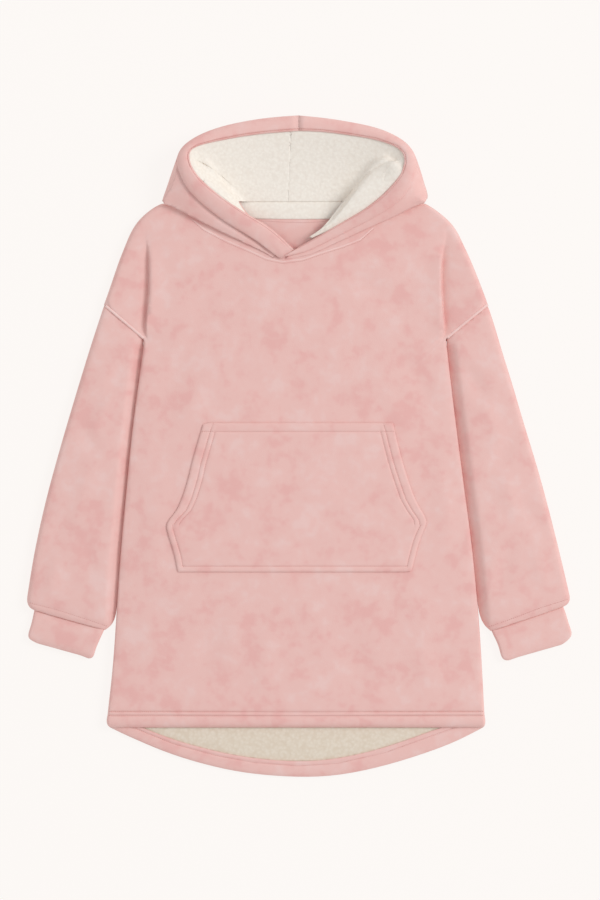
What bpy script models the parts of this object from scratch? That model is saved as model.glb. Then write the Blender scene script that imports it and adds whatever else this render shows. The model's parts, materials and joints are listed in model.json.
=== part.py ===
# Wearable blanket hoodie, laid flat with its front up.
# X runs across the garment, Y from hem to hood, Z up from the surface it lies on.
# Left and right are as seen from above with the hood at the top.
# The origin is on the surface, under the middle of the garment's box.
# Tables and sizes are in millimetres.

import math
from collections import namedtuple

import bpy
import numpy as np

MM = 0.001
SEAM = 0.3  # gap between two pieces that are sewn together

# Cloth
WALL = 9.4  # plush flannel with its sherpa lining, loose as it lies
FLANNEL = 4.6  # plush flannel alone
LINING = 5.4  # sherpa alone, pile up
BAND = 5.0  # doubled flannel of the hood's face band
POCKET = 3.4  # pocket flannel
TAIL_STITCH = 1.0  # depth of the stitching in the tail's hem
BAND_STITCH = 1.1  # depth of the stitching in the hood's face band
BACK_TOP = WALL
FRONT_LOW = BACK_TOP + SEAM
FRONT_TOP = FRONT_LOW + WALL + 1.0

# Body
HEM_Y = -464.5  # front hem
NECK_BLEND_Y = 308.0  # the back's rows bend to its neckline above this
THIN_Y = -441.0  # below this the back is flannel alone, with its lining a piece of its own
NECK_HALF = 160.0  # half width of the front neckline
NECK_CLEAR = 2.0  # facing and strip lie this far inside the front neckline
LINING_Y = -442.0  # the tail's lining ends here, under the front hem
SIDE_RIM = 3.0  # rounding along the body's sides
SILHOUETTE_RIM = 10.0  # rounding over the shoulders
SEAM_RIM = 3.0  # rounding along the armhole seams
SIDE_STRIP = 16.0  # width of the columns that round the side
MIDDLE_COLUMNS = 9  # columns between the two side strips
CREASE_AT = (-1.6, 1.2, 9.0, 40.0)  # distance out from the fold's edge, from shoulder to armpit
CREASE_SHARE = (0.0, 1.0, 0.5, 0.0)  # share of the fold's depth there
TAIL_RIM = 5.0  # rounding of the tail's outer edge
TAIL_EDGE = 0.5  # height of that edge above the surface
HEM_RIM = 9.0  # rounding of the front hem
NECK_RIM = 6.0  # rounding of the front neckline
NECK_EDGE = 2.0  # rounding of the facing and the strip inside it

# Sleeves and cuffs
SLEEVE_RIM = 11.0  # rounding of the outer edge
SLEEVE_FALL = ((26.0, 1.0), (15.0, 0.86), (7.0, 0.6), (2.0, 0.3))  # inner edge: distance, height share
CUFF_RIM = 5.5
CUFF_FALL = ((5.5, 1.0), (2.75, 0.87), (0.8, 0.52))
SLIT_HALF = 0.4  # the sleeve's two layers lie this far from its middle plane

# Hood
HOOD_ON_BODY = FRONT_TOP + SEAM
FLOOR_TOP = 13.0  # lining on the floor of the open hood
LIP_DROP = 5.6  # lining under the lip of the face band
LINING_TUCK = 1.2  # the lining's edge sinks this much more under the band
UNDER_LINING = 0.5  # gap between lining and hood panel
BAND_GAP = 0.4  # gap between face band and hood panel
BAND_SLOPE = 5.0  # fall of the band towards its outer edge
THIN_HOOD = 0.8  # least thickness of a hood panel under its lining
FOLD_WIDTH = {-1: 14.0, 1: 5.0}  # width of the side fold's edge, left and right

# crease_left, crease_right, depth: the fold from shoulder to armpit.
# stitch: how far a line of stitching sinks the whole row.
Edge = namedtuple("Edge", "y left right crease_left crease_right depth stitch")
BODY_EDGES = [
    Edge(-464.5, -311.0, 305.0, 0, 0, 0, 0),
    Edge(-461.0, -315.5, 308.0, 0, 0, 0, 0),
    Edge(-454.0, -317.5, 309.0, 0, 0, 0, 0),
    Edge(-447.5, -316.3, 308.0, 0, 0, 0, 0.2),
    Edge(-444.3, -315.7, 307.5, 0, 0, 0, 1.9),
    Edge(-441.0, -315.2, 307.2, 0, 0, 0, 0.2),
    Edge(-437.7, -314.9, 307.0, 0, 0, 0, 1.9),
    Edge(-434.5, -314.5, 306.8, 0, 0, 0, 0.2),
    Edge(-420.0, -313.0, 306.0, 0, 0, 0, 0),
    Edge(-360.0, -306.0, 303.0, 0, 0, 0, 0),
    Edge(-281.0, -301.0, 298.0, 0, 0, 0, 0),
    Edge(-171.0, -294.0, 288.0, 0, 0, 0, 0),
    Edge(-88.0, -286.0, 276.5, 0, 0, 0, 0),
    Edge(-30.0, -280.5, 269.0, 0, 0, 0, 0),
    Edge(27.0, -275.0, 261.5, 0, 0, 0, 0),
    Edge(100.0, -265.0, 252.5, 0, 0, 0, 0),
    Edge(158.0, -257.0, 246.0, 0, 0, 0, 0),
    Edge(177.0, -255.0, 243.5, -248.0, 237.0, 2.0, 0),
    Edge(184.0, -262.8, 252.0, -252.0, 241.0, 5.5, 0),
    Edge(197.0, -277.8, 267.0, -252.0, 241.0, 7.0, 0),
    Edge(215.0, -298.8, 289.0, -250.5, 239.5, 7.5, 0),
    Edge(234.0, -321.5, 313.0, -248.8, 237.5, 7.5, 0),
    Edge(258.0, -312.7, 304.4, -246.8, 236.0, 7.5, 0),
    Edge(283.0, -304.4, 294.5, -246.3, 235.2, 7.0, 0),
    Edge(308.0, -296.0, 284.6, -246.8, 236.5, 6.0, 0),
    Edge(332.0, -286.0, 273.0, -249.5, 240.0, 3.8, 0),
    Edge(350.0, -279.0, 265.0, -251.5, 243.0, 1.0, 0),
    Edge(366.0, -270.0, 255.0, -249.0, 236.0, 0, 0),
    Edge(379.0, -259.0, 242.0, -241.0, 224.0, 0, 0),
    Edge(389.0, -247.0, 229.0, -230.0, 212.0, 0, 0),
    Edge(396.0, -237.0, 219.0, -221.0, 203.0, 0, 0),
    Edge(401.0, -227.0, 210.0, -211.0, 194.0, 0, 0),
]
ARMPIT_Y = 177.0
ARMHOLE_Y = 234.0

Point = namedtuple("Point", "x y")
FRONT_NECK = [
    Point(-227, 401), Point(-190, 404), Point(-160, 403), Point(-131, 395),
    Point(-105, 377), Point(-74, 358), Point(-48, 341), Point(-20, 323),
    Point(5, 322), Point(40, 340), Point(76, 361), Point(110, 381),
    Point(138, 398), Point(165, 404), Point(190, 404), Point(210, 401),
]
BACK_NECK = [Point(-227, 401), Point(-190, 404), Point(190, 404), Point(210, 401)]
TAIL_HEM = [
    Point(-311, -464.5), Point(-290, -475), Point(-265, -486), Point(-212, -509),
    Point(-138, -530.5), Point(-75, -542), Point(0, -547), Point(65, -545),
    Point(149, -527), Point(233, -499), Point(270, -483), Point(305, -464.5),
]
TAIL_LIP = [
    Point(-298, -446), Point(-276, -456), Point(-253, -467), Point(-205, -486),
    Point(-136, -504.5), Point(-75, -516), Point(0, -522), Point(65, -517),
    Point(142, -499), Point(217, -471), Point(255, -458), Point(292, -446),
]

Sleeve = namedtuple("Sleeve", "outer_x outer_y inner_x inner_y height")
SLEEVE_LEFT = [
    Sleeve(-332, 202, None, 158, 19), Sleeve(-346, 159, None, 130, 20),
    Sleeve(-361, 110, None, 100, 21), Sleeve(-385, 30, None, 27, 21),
    Sleeve(-402, -30, None, -30, 21), Sleeve(-418, -88, None, -88, 21),
    Sleeve(-436.5, -171, None, -171, 21), Sleeve(-445, -225, None, -228, 21),
    Sleeve(-448.5, -247, None, -258, 21), Sleeve(-449.5, -256, -302.5, -281, 20),
    Sleeve(-446, -265, -309, -296, 18.5), Sleeve(-439, -270, -319, -303.5, 15),
]
SLEEVE_RIGHT = [
    Sleeve(324, 202, None, 158, 19), Sleeve(336, 159, None, 130, 20),
    Sleeve(352, 110, None, 100, 21), Sleeve(375, 30, None, 27, 21),
    Sleeve(394, -30, None, -30, 21), Sleeve(410, -88, None, -88, 21),
    Sleeve(431, -171, None, -171, 21), Sleeve(443.5, -225, None, -228, 21),
    Sleeve(447.5, -242, None, -255, 21), Sleeve(449.5, -251, 299.5, -279, 20),
    Sleeve(447, -259, 307, -296, 18.5), Sleeve(440, -264, 317, -305, 15),
]
CUFF_LEFT = [
    Sleeve(-437, -271.2, -321, -304, 12), Sleeve(-438.5, -279, -325, -312, 14.5),
    Sleeve(-441, -290, -330, -323, 15), Sleeve(-444, -306, -336, -337, 15),
    Sleeve(-443, -316, -341, -345, 14), Sleeve(-434, -324.5, -348, -348.5, 10),
]
CUFF_RIGHT = [
    Sleeve(438, -265.2, 319, -305.8, 12), Sleeve(441, -273, 323, -314, 14.5),
    Sleeve(445, -285, 329, -326, 15), Sleeve(449, -306, 334, -342, 15),
    Sleeve(447, -318, 341, -350, 14), Sleeve(437, -327, 349, -352, 10),
]

# stitch_in: how far in from the slanted sides the first line of stitching runs.
# double: depth of the second line there. stitch: depth of a line along the whole row.
Row = namedtuple("Row", "y left right stitch_in double stitch")
POCKET_ROWS = [
    Row(-207, -198, 185, 10, 0, 0), Row(-204.5, -199.5, 187, 10, 0, 0),
    Row(-200.3, -200.5, 188.2, 10, 0, 0.1), Row(-197.6, -200.9, 188.9, 10, 0, 1.0),
    Row(-194.9, -201.4, 189.5, 10, 0, 0.1), Row(-180, -204, 193, 10, 0, 0),
    Row(-154, -212, 200, 10, 0, 0), Row(-138, -217, 207, 10.5, 0, 0),
    Row(-129, -218, 211, 12, 0.4, 0), Row(-121, -214, 212, 13.5, 0.8, 0),
    Row(-106, -201, 203, 15, 1, 0), Row(-87, -192, 192, 15, 1, 0),
    Row(-55, -182, 181, 15, 1, 0), Row(-27, -176, 172, 15, 1, 0),
    Row(4, -167, 164, 15, 1, 0), Row(21.5, -162, 160, 15, 1, 0.1),
    Row(24.5, -161, 159, 15, 1, 1.0), Row(27.5, -160, 158.3, 15, 1, 0.1),
    Row(36, -158, 157, 15, 0.6, 0), Row(39, -155, 155, 15, 0, 0),
]
POCKET_STITCH = 1.0  # depth of the pocket's stitching
POCKET_RIM = 3.5  # rounding of the pocket's edge
SECOND_LINE = 8.5  # from the first line of stitching to the second

# One row for each section round the open hood, from the V at the front to the crown seam.
# foot: outer lower edge. line: outer edge of the face band. lip: its inner edge.
# neck: where lining and neck meet. fold: edge of the lining's side fold.
Hood = namedtuple(
    "Hood", "foot_x foot_y line_x line_y lip_x lip_y top base neck_x neck_y fold_x fold_y fold"
)
ON = HOOD_ON_BODY
HOOD_LEFT = [
    Hood(-41, 311, -39, 315, -8, 326, 31, ON, 0, 0, 0, 0, 0),
    Hood(-60, 323, -65, 337, -31, 348, 33, ON, 0, 0, 0, 0, 0),
    Hood(-91, 337, -93, 354, -55, 367, 37, ON, -47, 358, -49, 360, 2),
    Hood(-126, 353, -122, 371, -84, 382, 42, ON, -74, 374, -76.5, 376, 3),
    Hood(-164, 372, -150, 392, -112, 401, 48, ON, -86, 386, -89, 388, 4),
    Hood(-202, 392, -175, 414, -139, 420, 56, ON, -95, 399, -99, 402, 5),
    Hood(-227, 407, -190, 435, -162, 439, 63, ON, -98, 404.5, -109, 417, 9),
    Hood(-217, 433, -199, 458, -175, 458, 67, 0, -93, 404.5, -126, 441, 9),
    Hood(-204, 468, -201, 473, -180, 473, 68, 0, -85, 404.5, -148, 467, 6),
    Hood(-196, 490, -195, 489, -179, 486, 66, 0, -74, 404.5, 0, 0, 0),
    Hood(-179, 508, -177, 506, -164, 495, 62, 0, -61, 404.5, 0, 0, 0),
    Hood(-139, 526, -138, 524, -133, 502, 56, 0, -46, 404.5, 0, 0, 0),
    Hood(-93, 537, -92.5, 534.5, -88, 511, 52, 0, -31, 404.5, 0, 0, 0),
    Hood(-47, 544, -47, 541.5, -44, 516, 50, 0, -15, 404.5, 0, 0, 0),
    Hood(-0.2, 547, -0.2, 544.5, -0.2, 519, 49, 0, -0.2, 404.5, 0, 0, 0),
]
HOOD_RIGHT = [
    Hood(-22, 309, -19, 313.5, -6.5, 324.5, 27.5, ON, 0, 0, 0, 0, 0),
    Hood(17, 315, 12, 320, 1, 330, 28.5, ON, 0, 0, 0, 0, 0),
    Hood(50, 330, 44, 336, 31, 346, 31, ON, 26, 342, 28, 343.5, 1),
    Hood(93, 350, 87, 358, 74, 371, 37, ON, 49, 359, 52.5, 361, 6),
    Hood(128, 366, 120, 374, 102, 386, 44, ON, 62, 381, 66, 382, 9),
    Hood(173, 386, 154, 394, 131, 407, 52, ON, 75, 401, 80, 402.5, 12),
    Hood(214, 408, 176, 413, 153, 428, 60, ON, 80, 404.5, 91, 421, 16),
    Hood(212, 431, 189, 436, 169, 449, 66, 0, 78, 404.5, 104, 444, 18),
    Hood(199, 464, 196, 466, 174, 466, 68, 0, 74, 404.5, 131, 472, 14),
    Hood(191, 486, 190, 485, 173, 481, 66, 0, 66, 404.5, 0, 0, 0),
    Hood(176, 506, 174, 504, 161, 493, 62, 0, 56, 404.5, 0, 0, 0),
    Hood(136, 526, 135, 523.5, 126, 505, 56, 0, 43, 404.5, 0, 0, 0),
    Hood(93, 535, 92.5, 532.5, 83, 512, 52, 0, 29, 404.5, 0, 0, 0),
    Hood(45, 543, 45, 540.5, 39, 518, 50, 0, 15, 404.5, 0, 0, 0),
    Hood(0.2, 547, 0.2, 544.5, 0.2, 519, 49, 0, 0.2, 404.5, 0, 0, 0),
]
FIRST_LINED = 2  # the lining starts at this section

FLANNEL_PINK = (0.78, 0.42, 0.42, 1.0)
SHERPA_CREAM = (0.86, 0.80, 0.71, 1.0)


def clear_scene():
    for item in list(bpy.data.objects):
        bpy.data.objects.remove(item)


def cloth_material(name, color, roughness):
    material = bpy.data.materials.new(name)
    material.use_nodes = True
    shader = material.node_tree.nodes["Principled BSDF"]
    shader.inputs["Base Color"].default_value = color
    shader.inputs["Roughness"].default_value = roughness
    shader.inputs["Metallic"].default_value = 0.0
    material.diffuse_color = color
    return material


def add_object(name, points, faces, material):
    """Makes an object from points in millimetres, merging those that meet at a rim."""
    mesh = bpy.data.meshes.new(name)
    mesh.from_pydata([tuple(c * MM for c in p) for p in points], [], faces)
    mesh.validate()
    mesh.materials.append(cloth_material(name, *material))
    item = bpy.data.objects.new(name, mesh)
    bpy.context.collection.objects.link(item)
    weld = item.modifiers.new("weld", "WELD")
    weld.merge_threshold = 0.00001
    mesh.shade_smooth()
    mesh.set_sharp_from_angle(angle=math.radians(50))
    return item


def panel(name, top, bottom, material):
    """A closed panel between two grids of points with the same plan, rows by columns.

    Rows run away from the hem and columns to the right, so the top faces up.
    """
    top, bottom = np.asarray(top, float), np.asarray(bottom, float)
    rows, cols = top.shape[:2]
    size = rows * cols
    points = np.vstack([top.reshape(-1, 3), bottom.reshape(-1, 3)])
    faces = []
    for i in range(rows - 1):
        for j in range(cols - 1):
            a, b = i * cols + j, i * cols + j + 1
            c, d = b + cols, a + cols
            if (i, j) in ((0, cols - 2), (rows - 2, 0)):
                a, b, c, d = b, c, d, a
            faces += [(a, b, c), (a, c, d)]
            faces += [(a + size, c + size, b + size), (a + size, d + size, c + size)]
    rim = [j for j in range(cols)]
    rim += [i * cols + cols - 1 for i in range(1, rows)]
    rim += [(rows - 1) * cols + j for j in range(cols - 2, -1, -1)]
    rim += [i * cols for i in range(rows - 2, 0, -1)]
    for a, b in zip(rim, rim[1:] + rim[:1]):
        if np.allclose(points[a], points[a + size]) and np.allclose(points[b], points[b + size]):
            continue
        faces += [(a, a + size, b + size), (a, b + size, b)]
    return add_object(name, points, faces, material)


def tube(name, rings, material):
    """A flattened tube from sections, each an outer and an inner ring of as many points."""
    count = len(rings[0][0])
    points = [p for outer, inner in rings for p in outer + inner]
    faces = []
    for k in range(len(rings) - 1):
        base, step = k * 2 * count, 2 * count
        for i in range(count):
            j = (i + 1) % count
            a, b, c, d = base + i, base + j, base + j + step, base + i + step
            faces += [(a, b, c), (a, c, d)]
            a, b, c, d = a + count, b + count, c + count, d + count
            faces += [(a, c, b), (a, d, c)]
    last = (len(rings) - 1) * 2 * count
    for i in range(count):
        j = (i + 1) % count
        faces += [(i, i + count, j + count), (i, j + count, j)]
        a, b = last + i, last + j
        faces += [(a, b, b + count), (a, b + count, a + count)]
    return add_object(name, points, faces, material)


def curve_y(table, x):
    return np.interp(x, [p.x for p in table], [p.y for p in table])


def edge_value(field, y):
    return np.interp(y, [e.y for e in BODY_EDGES], [getattr(e, field) for e in BODY_EDGES])


def rounding(distance, radius):
    """Height share of a rounded rim at a distance in from the edge."""
    if distance >= radius:
        return 1.0
    inward = 1.0 - max(distance, 0.0) / radius
    return math.sqrt(max(0.0, 1.0 - inward * inward))


def side_columns(edge, crease):
    """Distances in from the edge of the columns between the edge and the crease."""
    width = abs(crease - edge)
    rim = min(SILHOUETTE_RIM, 0.42 * width)
    shoulder = min(CREASE_AT[2], 0.25 * width)
    bottom = min(CREASE_AT[1], 0.1 * width)
    marks = [0.0, 0.14 * rim, 0.5 * rim, rim, width - shoulder, width - bottom]
    return marks + [width - CREASE_AT[0]]


def body_columns(edge):
    """Plan x of every column at one row of a body panel, and each one's distance in."""
    left = edge.crease_left or edge.left + SIDE_STRIP
    right = edge.crease_right or edge.right - SIDE_STRIP
    marks_left = side_columns(edge.left, left)
    marks_right = side_columns(edge.right, right)
    inner_left, inner_right = edge.left + marks_left[-1], edge.right - marks_right[-1]
    xs = [edge.left + m for m in marks_left]
    middle = np.linspace(0.0, 1.0, MIDDLE_COLUMNS + 2)[1:-1]
    xs += [inner_left + t * (inner_right - inner_left) for t in middle]
    xs += [edge.right - m for m in reversed(marks_right)]
    return xs


def rim_radius(y):
    if y < ARMPIT_Y:
        return SIDE_RIM
    if y <= ARMHOLE_Y:
        return SEAM_RIM
    return SILHOUETTE_RIM


def crease_drop(x, edge):
    """How far the fold from shoulder to armpit sinks the front at x."""
    drop = 0.0
    for crease in (edge.crease_left, edge.crease_right):
        if crease:
            outward = (crease - x) if crease < 0 else (x - crease)
            drop = max(drop, edge.depth * np.interp(outward, CREASE_AT, CREASE_SHARE))
    return drop


def front_top(x, edge, row_share):
    """Upper face of the front panel; row_share is the rounding of its hem and neckline."""
    side = min(x - edge.left, edge.right - x)
    lift = FRONT_TOP - FRONT_LOW - crease_drop(x, edge) - edge.stitch
    return FRONT_LOW + lift * rounding(side, rim_radius(edge.y)) * row_share


def body_front():
    top, bottom = [], []
    last = BODY_EDGES[-1]
    for edge in BODY_EDGES:
        share = (edge.y - HEM_Y) / (last.y - HEM_Y)
        upper, lower = [], []
        for x, x_top in zip(body_columns(edge), body_columns(last)):
            y = HEM_Y + share * (curve_y(FRONT_NECK, x_top) - HEM_Y)
            hem = rounding(y - HEM_Y, HEM_RIM)
            neck = rounding(curve_y(FRONT_NECK, x_top) - y, NECK_RIM)
            z = front_top(x, edge, min(hem, neck))
            upper.append((x, y, z))
            lower.append((x, y, FRONT_LOW))
        top.append(upper)
        bottom.append(lower)
    return panel("body_front", top, bottom, (FLANNEL_PINK, 0.9))


def body_back():
    """The back panel, thinner in the tail where its lining is a piece of its own."""
    top, bottom = [], []
    tail_rows = (0.0, 0.12, 0.5, 1.0)
    low = [e for e in BODY_EDGES if e.y >= THIN_Y]
    for share in tail_rows[:-1]:
        upper, lower = [], []
        for x_hem, x_row in zip(body_columns(BODY_EDGES[0]), body_columns(low[0])):
            x = x_hem + share * (x_row - x_hem)
            y_hem = curve_y(TAIL_HEM, x_hem)
            y = y_hem + share * (low[0].y - y_hem)
            side = rounding(y - y_hem, TAIL_RIM)
            upper.append((x, y, TAIL_EDGE + (FLANNEL - TAIL_EDGE) * side))
            lower.append((x, y, TAIL_EDGE * (1.0 - side)))
        top.append(upper)
        bottom.append(lower)
    last = BODY_EDGES[-1]
    for edge in low:
        upper, lower = [], []
        bend = max(0.0, (edge.y - NECK_BLEND_Y) / (last.y - NECK_BLEND_Y))
        for x, x_top in zip(body_columns(edge), body_columns(last)):
            y = edge.y + bend * (curve_y(BACK_NECK, x_top) - last.y)
            side = min(x - edge.left, edge.right - x)
            share = rounding(side, 4.0)
            z = FLANNEL if edge.y <= THIN_Y else BACK_TOP
            upper.append((x, y, z))
            lower.append((x, y, 3.0 * (1.0 - share)))
        top.append(upper)
        bottom.append(lower)
    return panel("body_back", top, bottom, (FLANNEL_PINK, 0.9))


def tail_hem():
    """The tail's turned-in hem, which shows inside between front hem and outer edge."""
    marks = (0.0, 0.1, 0.35, 0.66, 0.76, 0.86, 0.95, 1.0)
    stitched = 0.76
    low, high = FLANNEL + SEAM, BACK_TOP - 0.2
    top, bottom = [], []
    for mark in marks:
        upper, lower = [], []
        for hem, lip in zip(TAIL_HEM, TAIL_LIP):
            x = hem.x + mark * (lip.x - hem.x)
            y = hem.y + mark * (lip.y - hem.y)
            edge = rounding(min(mark, 1.15 - mark) * 24.0, 8.0)
            sink = TAIL_STITCH if mark == stitched else 0.0
            upper.append((x, y, low + (high - low) * max(edge, 0.12) - sink))
            lower.append((x, y, low))
        top.append(upper)
        bottom.append(lower)
    return panel("tail_hem", top, bottom, (FLANNEL_PINK, 0.9))


def tail_lining():
    """The body lining where it shows inside the tail."""
    low, high = FLANNEL + SEAM, BACK_TOP - 1.2
    top, bottom = [], []
    for mark in (0.0, 0.15, 0.5, 1.0):
        upper, lower = [], []
        for lip in TAIL_LIP:
            y_low = lip.y + 0.5
            y = y_low + mark * (LINING_Y - y_low)
            z = low + (high - low) * max(rounding(y - y_low, 4.0), 0.35)
            upper.append((lip.x, y, z))
            lower.append((lip.x, y, low))
        top.append(upper)
        bottom.append(lower)
    return panel("tail_lining", top, bottom, (SHERPA_CREAM, 1.0))


def pocket_marks(row):
    """Distances in from a slanted side, and how far each column is sunk by stitching."""
    first, second = row.stitch_in, row.stitch_in + SECOND_LINE
    marks = [(0.0, 0.0), (0.9, 0.0), (3.0, 0.0), (6.0, 0.0)]
    marks += [(first - 2.5, 0.1), (first, 1.0), (first + 2.5, 0.1)]
    marks += [(second - 2.5, 0.1 * row.double), (second, row.double)]
    marks += [(second + 2.5, 0.1 * row.double), (second + 22.0, 0.0)]
    return marks


def pocket():
    low, high = FRONT_TOP + SEAM, FRONT_TOP + SEAM + POCKET
    top, bottom = [], []
    for row in POCKET_ROWS:
        upper, lower = [], []
        marks = pocket_marks(row)
        columns = [(row.left + m, d) for m, d in marks]
        inner = np.linspace(columns[-1][0], row.right - marks[-1][0], 8)[1:-1]
        columns += [(x, 0.0) for x in inner]
        columns += [(row.right - m, d) for m, d in reversed(marks)]
        for x, sink in columns:
            side = min(x - row.left, row.right - x)
            ends = min(row.y - POCKET_ROWS[0].y, POCKET_ROWS[-1].y - row.y)
            share = max(rounding(min(side, ends), POCKET_RIM), 0.45)
            depth = POCKET_STITCH * max(sink, row.stitch) if min(side, ends) > 5.0 else 0.0
            upper.append((x, row.y, low + (high - low) * share - depth))
            lower.append((x, row.y, low))
        top.append(upper)
        bottom.append(lower)
    return panel("pocket", top, bottom, (FLANNEL_PINK, 0.9))


def section_ring(outer, inner, height, rim, fall):
    """Outer and inner ring of one section of a sleeve that lies flat.

    The upper layer rounds over at rim on the outer edge and falls as the table says on the inner.
    """
    width = math.dist(outer, inner)
    along = [(b - a) / width for a, b in zip(outer, inner)]
    near = [0.0, 0.14 * rim, 0.5 * rim, rim]
    marks = near + [0.35 * width, 0.6 * width] + [width - d for d, _ in fall] + [width]
    shares = [rounding(m, rim) for m in near] + [1.0, 1.0] + [s for _, s in fall] + [0.0]
    margin, middle = 0.5 * height, 0.5 * height

    def place(mark, z):
        return (outer[0] + along[0] * mark, outer[1] + along[1] * mark, z)

    def squeeze(mark):
        return margin + mark * (width - 2.0 * margin) / width

    upper = [(m, middle + middle * s) for m, s in zip(marks, shares)]
    lower = [(m, middle - middle * rounding(min(m, width - m), 0.6 * rim)) for m in marks[1:-1]]
    ring = upper + lower[::-1]
    slit = [SLIT_HALF if 0.0 < m < width else 0.0 for m in marks]
    slit += [-SLIT_HALF for _ in lower]
    outside = [place(m, z) for m, z in ring]
    inside = [place(squeeze(m), middle + s) for (m, _), s in zip(ring, slit)]
    return outside, inside


def sleeve(name, table, side):
    """A sleeve from the armhole to its end; its inner edge follows the body's side."""
    field = "left" if side < 0 else "right"
    away = SEAM * math.sqrt(2.0)
    start = Sleeve(
        edge_value(field, ARMHOLE_Y) + side * 0.1, ARMHOLE_Y - 1.5 * away,
        edge_value(field, ARMPIT_Y) + side * SEAM, ARMPIT_Y - away, 17.0,
    )
    rings = []
    for row in [start] + table:
        inner_x = row.inner_x
        if inner_x is None:
            inner_x = edge_value(field, row.inner_y) + side * 1.5 * SEAM
        outer, inner = (row.outer_x, row.outer_y), (inner_x, row.inner_y)
        rings.append(section_ring(outer, inner, row.height, SLEEVE_RIM, SLEEVE_FALL))
    if side < 0:
        rings = [(outer[::-1], inner[::-1]) for outer, inner in rings]
    return tube(name, rings, (FLANNEL_PINK, 0.9))


def cuff(name, table, side):
    rings = []
    for row in table:
        outer, inner = (row.outer_x, row.outer_y), (row.inner_x, row.inner_y)
        rings.append(section_ring(outer, inner, row.height, CUFF_RIM, CUFF_FALL))
    if side < 0:
        rings = [(outer[::-1], inner[::-1]) for outer, inner in rings]
    return tube(name, rings, (FLANNEL_PINK, 0.9))


def between(a, b, share):
    return (a[0] + share * (b[0] - a[0]), a[1] + share * (b[1] - a[1]))


def lining_points(row, side):
    """Plan points and heights of the lining across one section, neck first."""
    neck, lip = (row.neck_x, row.neck_y), (row.lip_x, row.lip_y)
    under_lip = row.top - LIP_DROP
    points = []
    if row.fold:
        fold = (row.fold_x, row.fold_y)
        ledge = between(fold, lip, min(1.0, FOLD_WIDTH[side] / math.dist(fold, lip)))
        floor = FLOOR_TOP if row.base < ON else ON + 8.0
        rise = min(under_lip - 1.0, floor + row.fold)
        points += [(*between(neck, fold, s), floor) for s in (0.0, 0.35, 0.7)]
        points += [(*fold, floor + 0.15 * (rise - floor)), (*ledge, rise)]
        for share in (0.35, 0.7):
            swell = math.sin(math.pi * 0.5 * share)
            points.append((*between(ledge, lip, share), rise + swell * (under_lip - rise)))
    else:
        for share in (0.0, 0.2, 0.38, 0.52, 0.62, 0.76, 0.89):
            z = FLOOR_TOP + (under_lip - FLOOR_TOP) * share ** 1.9
            points.append((*between(neck, lip, share), z))
    points.append((*lip, under_lip))
    line = (row.line_x, row.line_y)
    points.append((*between(lip, line, 0.25), under_lip - LINING_TUCK))
    return points


def grid(rows, side):
    """Rows by columns, turned so that a panel made of them faces up."""
    return [list(r) for r in rows] if side > 0 else [list(r)[::-1] for r in rows]


def hood_lining(name, table, side):
    top, bottom = [], []
    for row in table[FIRST_LINED:]:
        points = lining_points(row, side)
        upper = [(x, y, z) for x, y, z in points]
        lower = [(x, y, z - LINING) for x, y, z in points]
        x, y, z = points[-1]
        upper[-1] = lower[-1] = (x, y, z)
        top.append(upper)
        bottom.append(lower)
    return panel(name, grid(top, side), grid(bottom, side), (SHERPA_CREAM, 1.0))


def hood_side(name, table, side):
    """A side panel of the hood with the folded layers that stand it up on the surface."""
    top, bottom = [], []
    for k, row in enumerate(table):
        foot, line, lip = (row.foot_x, row.foot_y), (row.line_x, row.line_y), (row.lip_x, row.lip_y)
        under = row.top - BAND - BAND_GAP
        height = under - row.base
        if k >= FIRST_LINED:
            inner = lining_points(row, side)[:-1]
            inner = [(x, y, z - LINING - UNDER_LINING) for x, y, z in inner]
            inner = [(x, y, max(z, row.base + THIN_HOOD)) for x, y, z in inner]
            ledge = row.top - LIP_DROP - LINING_TUCK - THIN_HOOD
        else:
            edge = between(lip, line, 0.06)
            inner = [(*between(edge, lip, s), under - 3.0) for s in np.linspace(0.0, 0.9, 8)]
            ledge = under - 1.0
        slope = min(BAND_SLOPE, 0.3 * height)
        upper = inner + [
            (*between(lip, line, 0.25), ledge),
            (*between(lip, line, 0.5), under),
            (*between(lip, line, 0.8), under - 0.6 * slope),
            (*line, under - slope),
            (*between(line, foot, 0.5), row.base + 0.62 * height),
            (*foot, row.base + 0.3 * height),
        ]
        lower = [(x, y, row.base) for x, y, _ in upper]
        tuck = between(foot, line, 0.22)
        lower[-1] = upper[-1]
        lower[-2] = (*tuck, row.base)
        top.append(upper)
        bottom.append(lower)
    return panel(name, grid(top, side), grid(bottom, side), (FLANNEL_PINK, 0.9))


def hood_band(name, table, side):
    """The face band, from the points of the hood panel under it, moved out."""
    top, bottom = [], []
    for k, row in enumerate(table):
        line, lip = (row.line_x, row.line_y), (row.lip_x, row.lip_y)
        under = row.top - BAND
        slope = min(BAND_SLOPE, 0.3 * (under - BAND_GAP - row.base))
        shares = (0.0, 0.04, 0.09, 0.13, 0.17, 0.25, 0.5, 0.8, 1.0)
        plan = [between(lip, line, share) for share in shares]
        heights = [under - 0.2, row.top - 2.6, row.top - 1.3, row.top - 0.9 - BAND_STITCH]
        heights += [row.top - 0.6, row.top - 0.3, row.top, row.top - 0.5 * slope]
        heights.append(under - slope + 0.6 * BAND)
        lows = [under - 0.2] * 5 + [under - 0.1, under, under - 0.6 * slope, under - slope]
        if 0 < k < len(table) - 1:
            lows[0] = heights[0] = under + 0.3
        upper = [(*p, z) for p, z in zip(plan, heights)]
        lower = [(*p, z) for p, z in zip(plan, lows)]
        top.append(upper)
        bottom.append(lower)
    return panel(name, grid(top, side), grid(bottom, side), (FLANNEL_PINK, 0.9))


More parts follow.
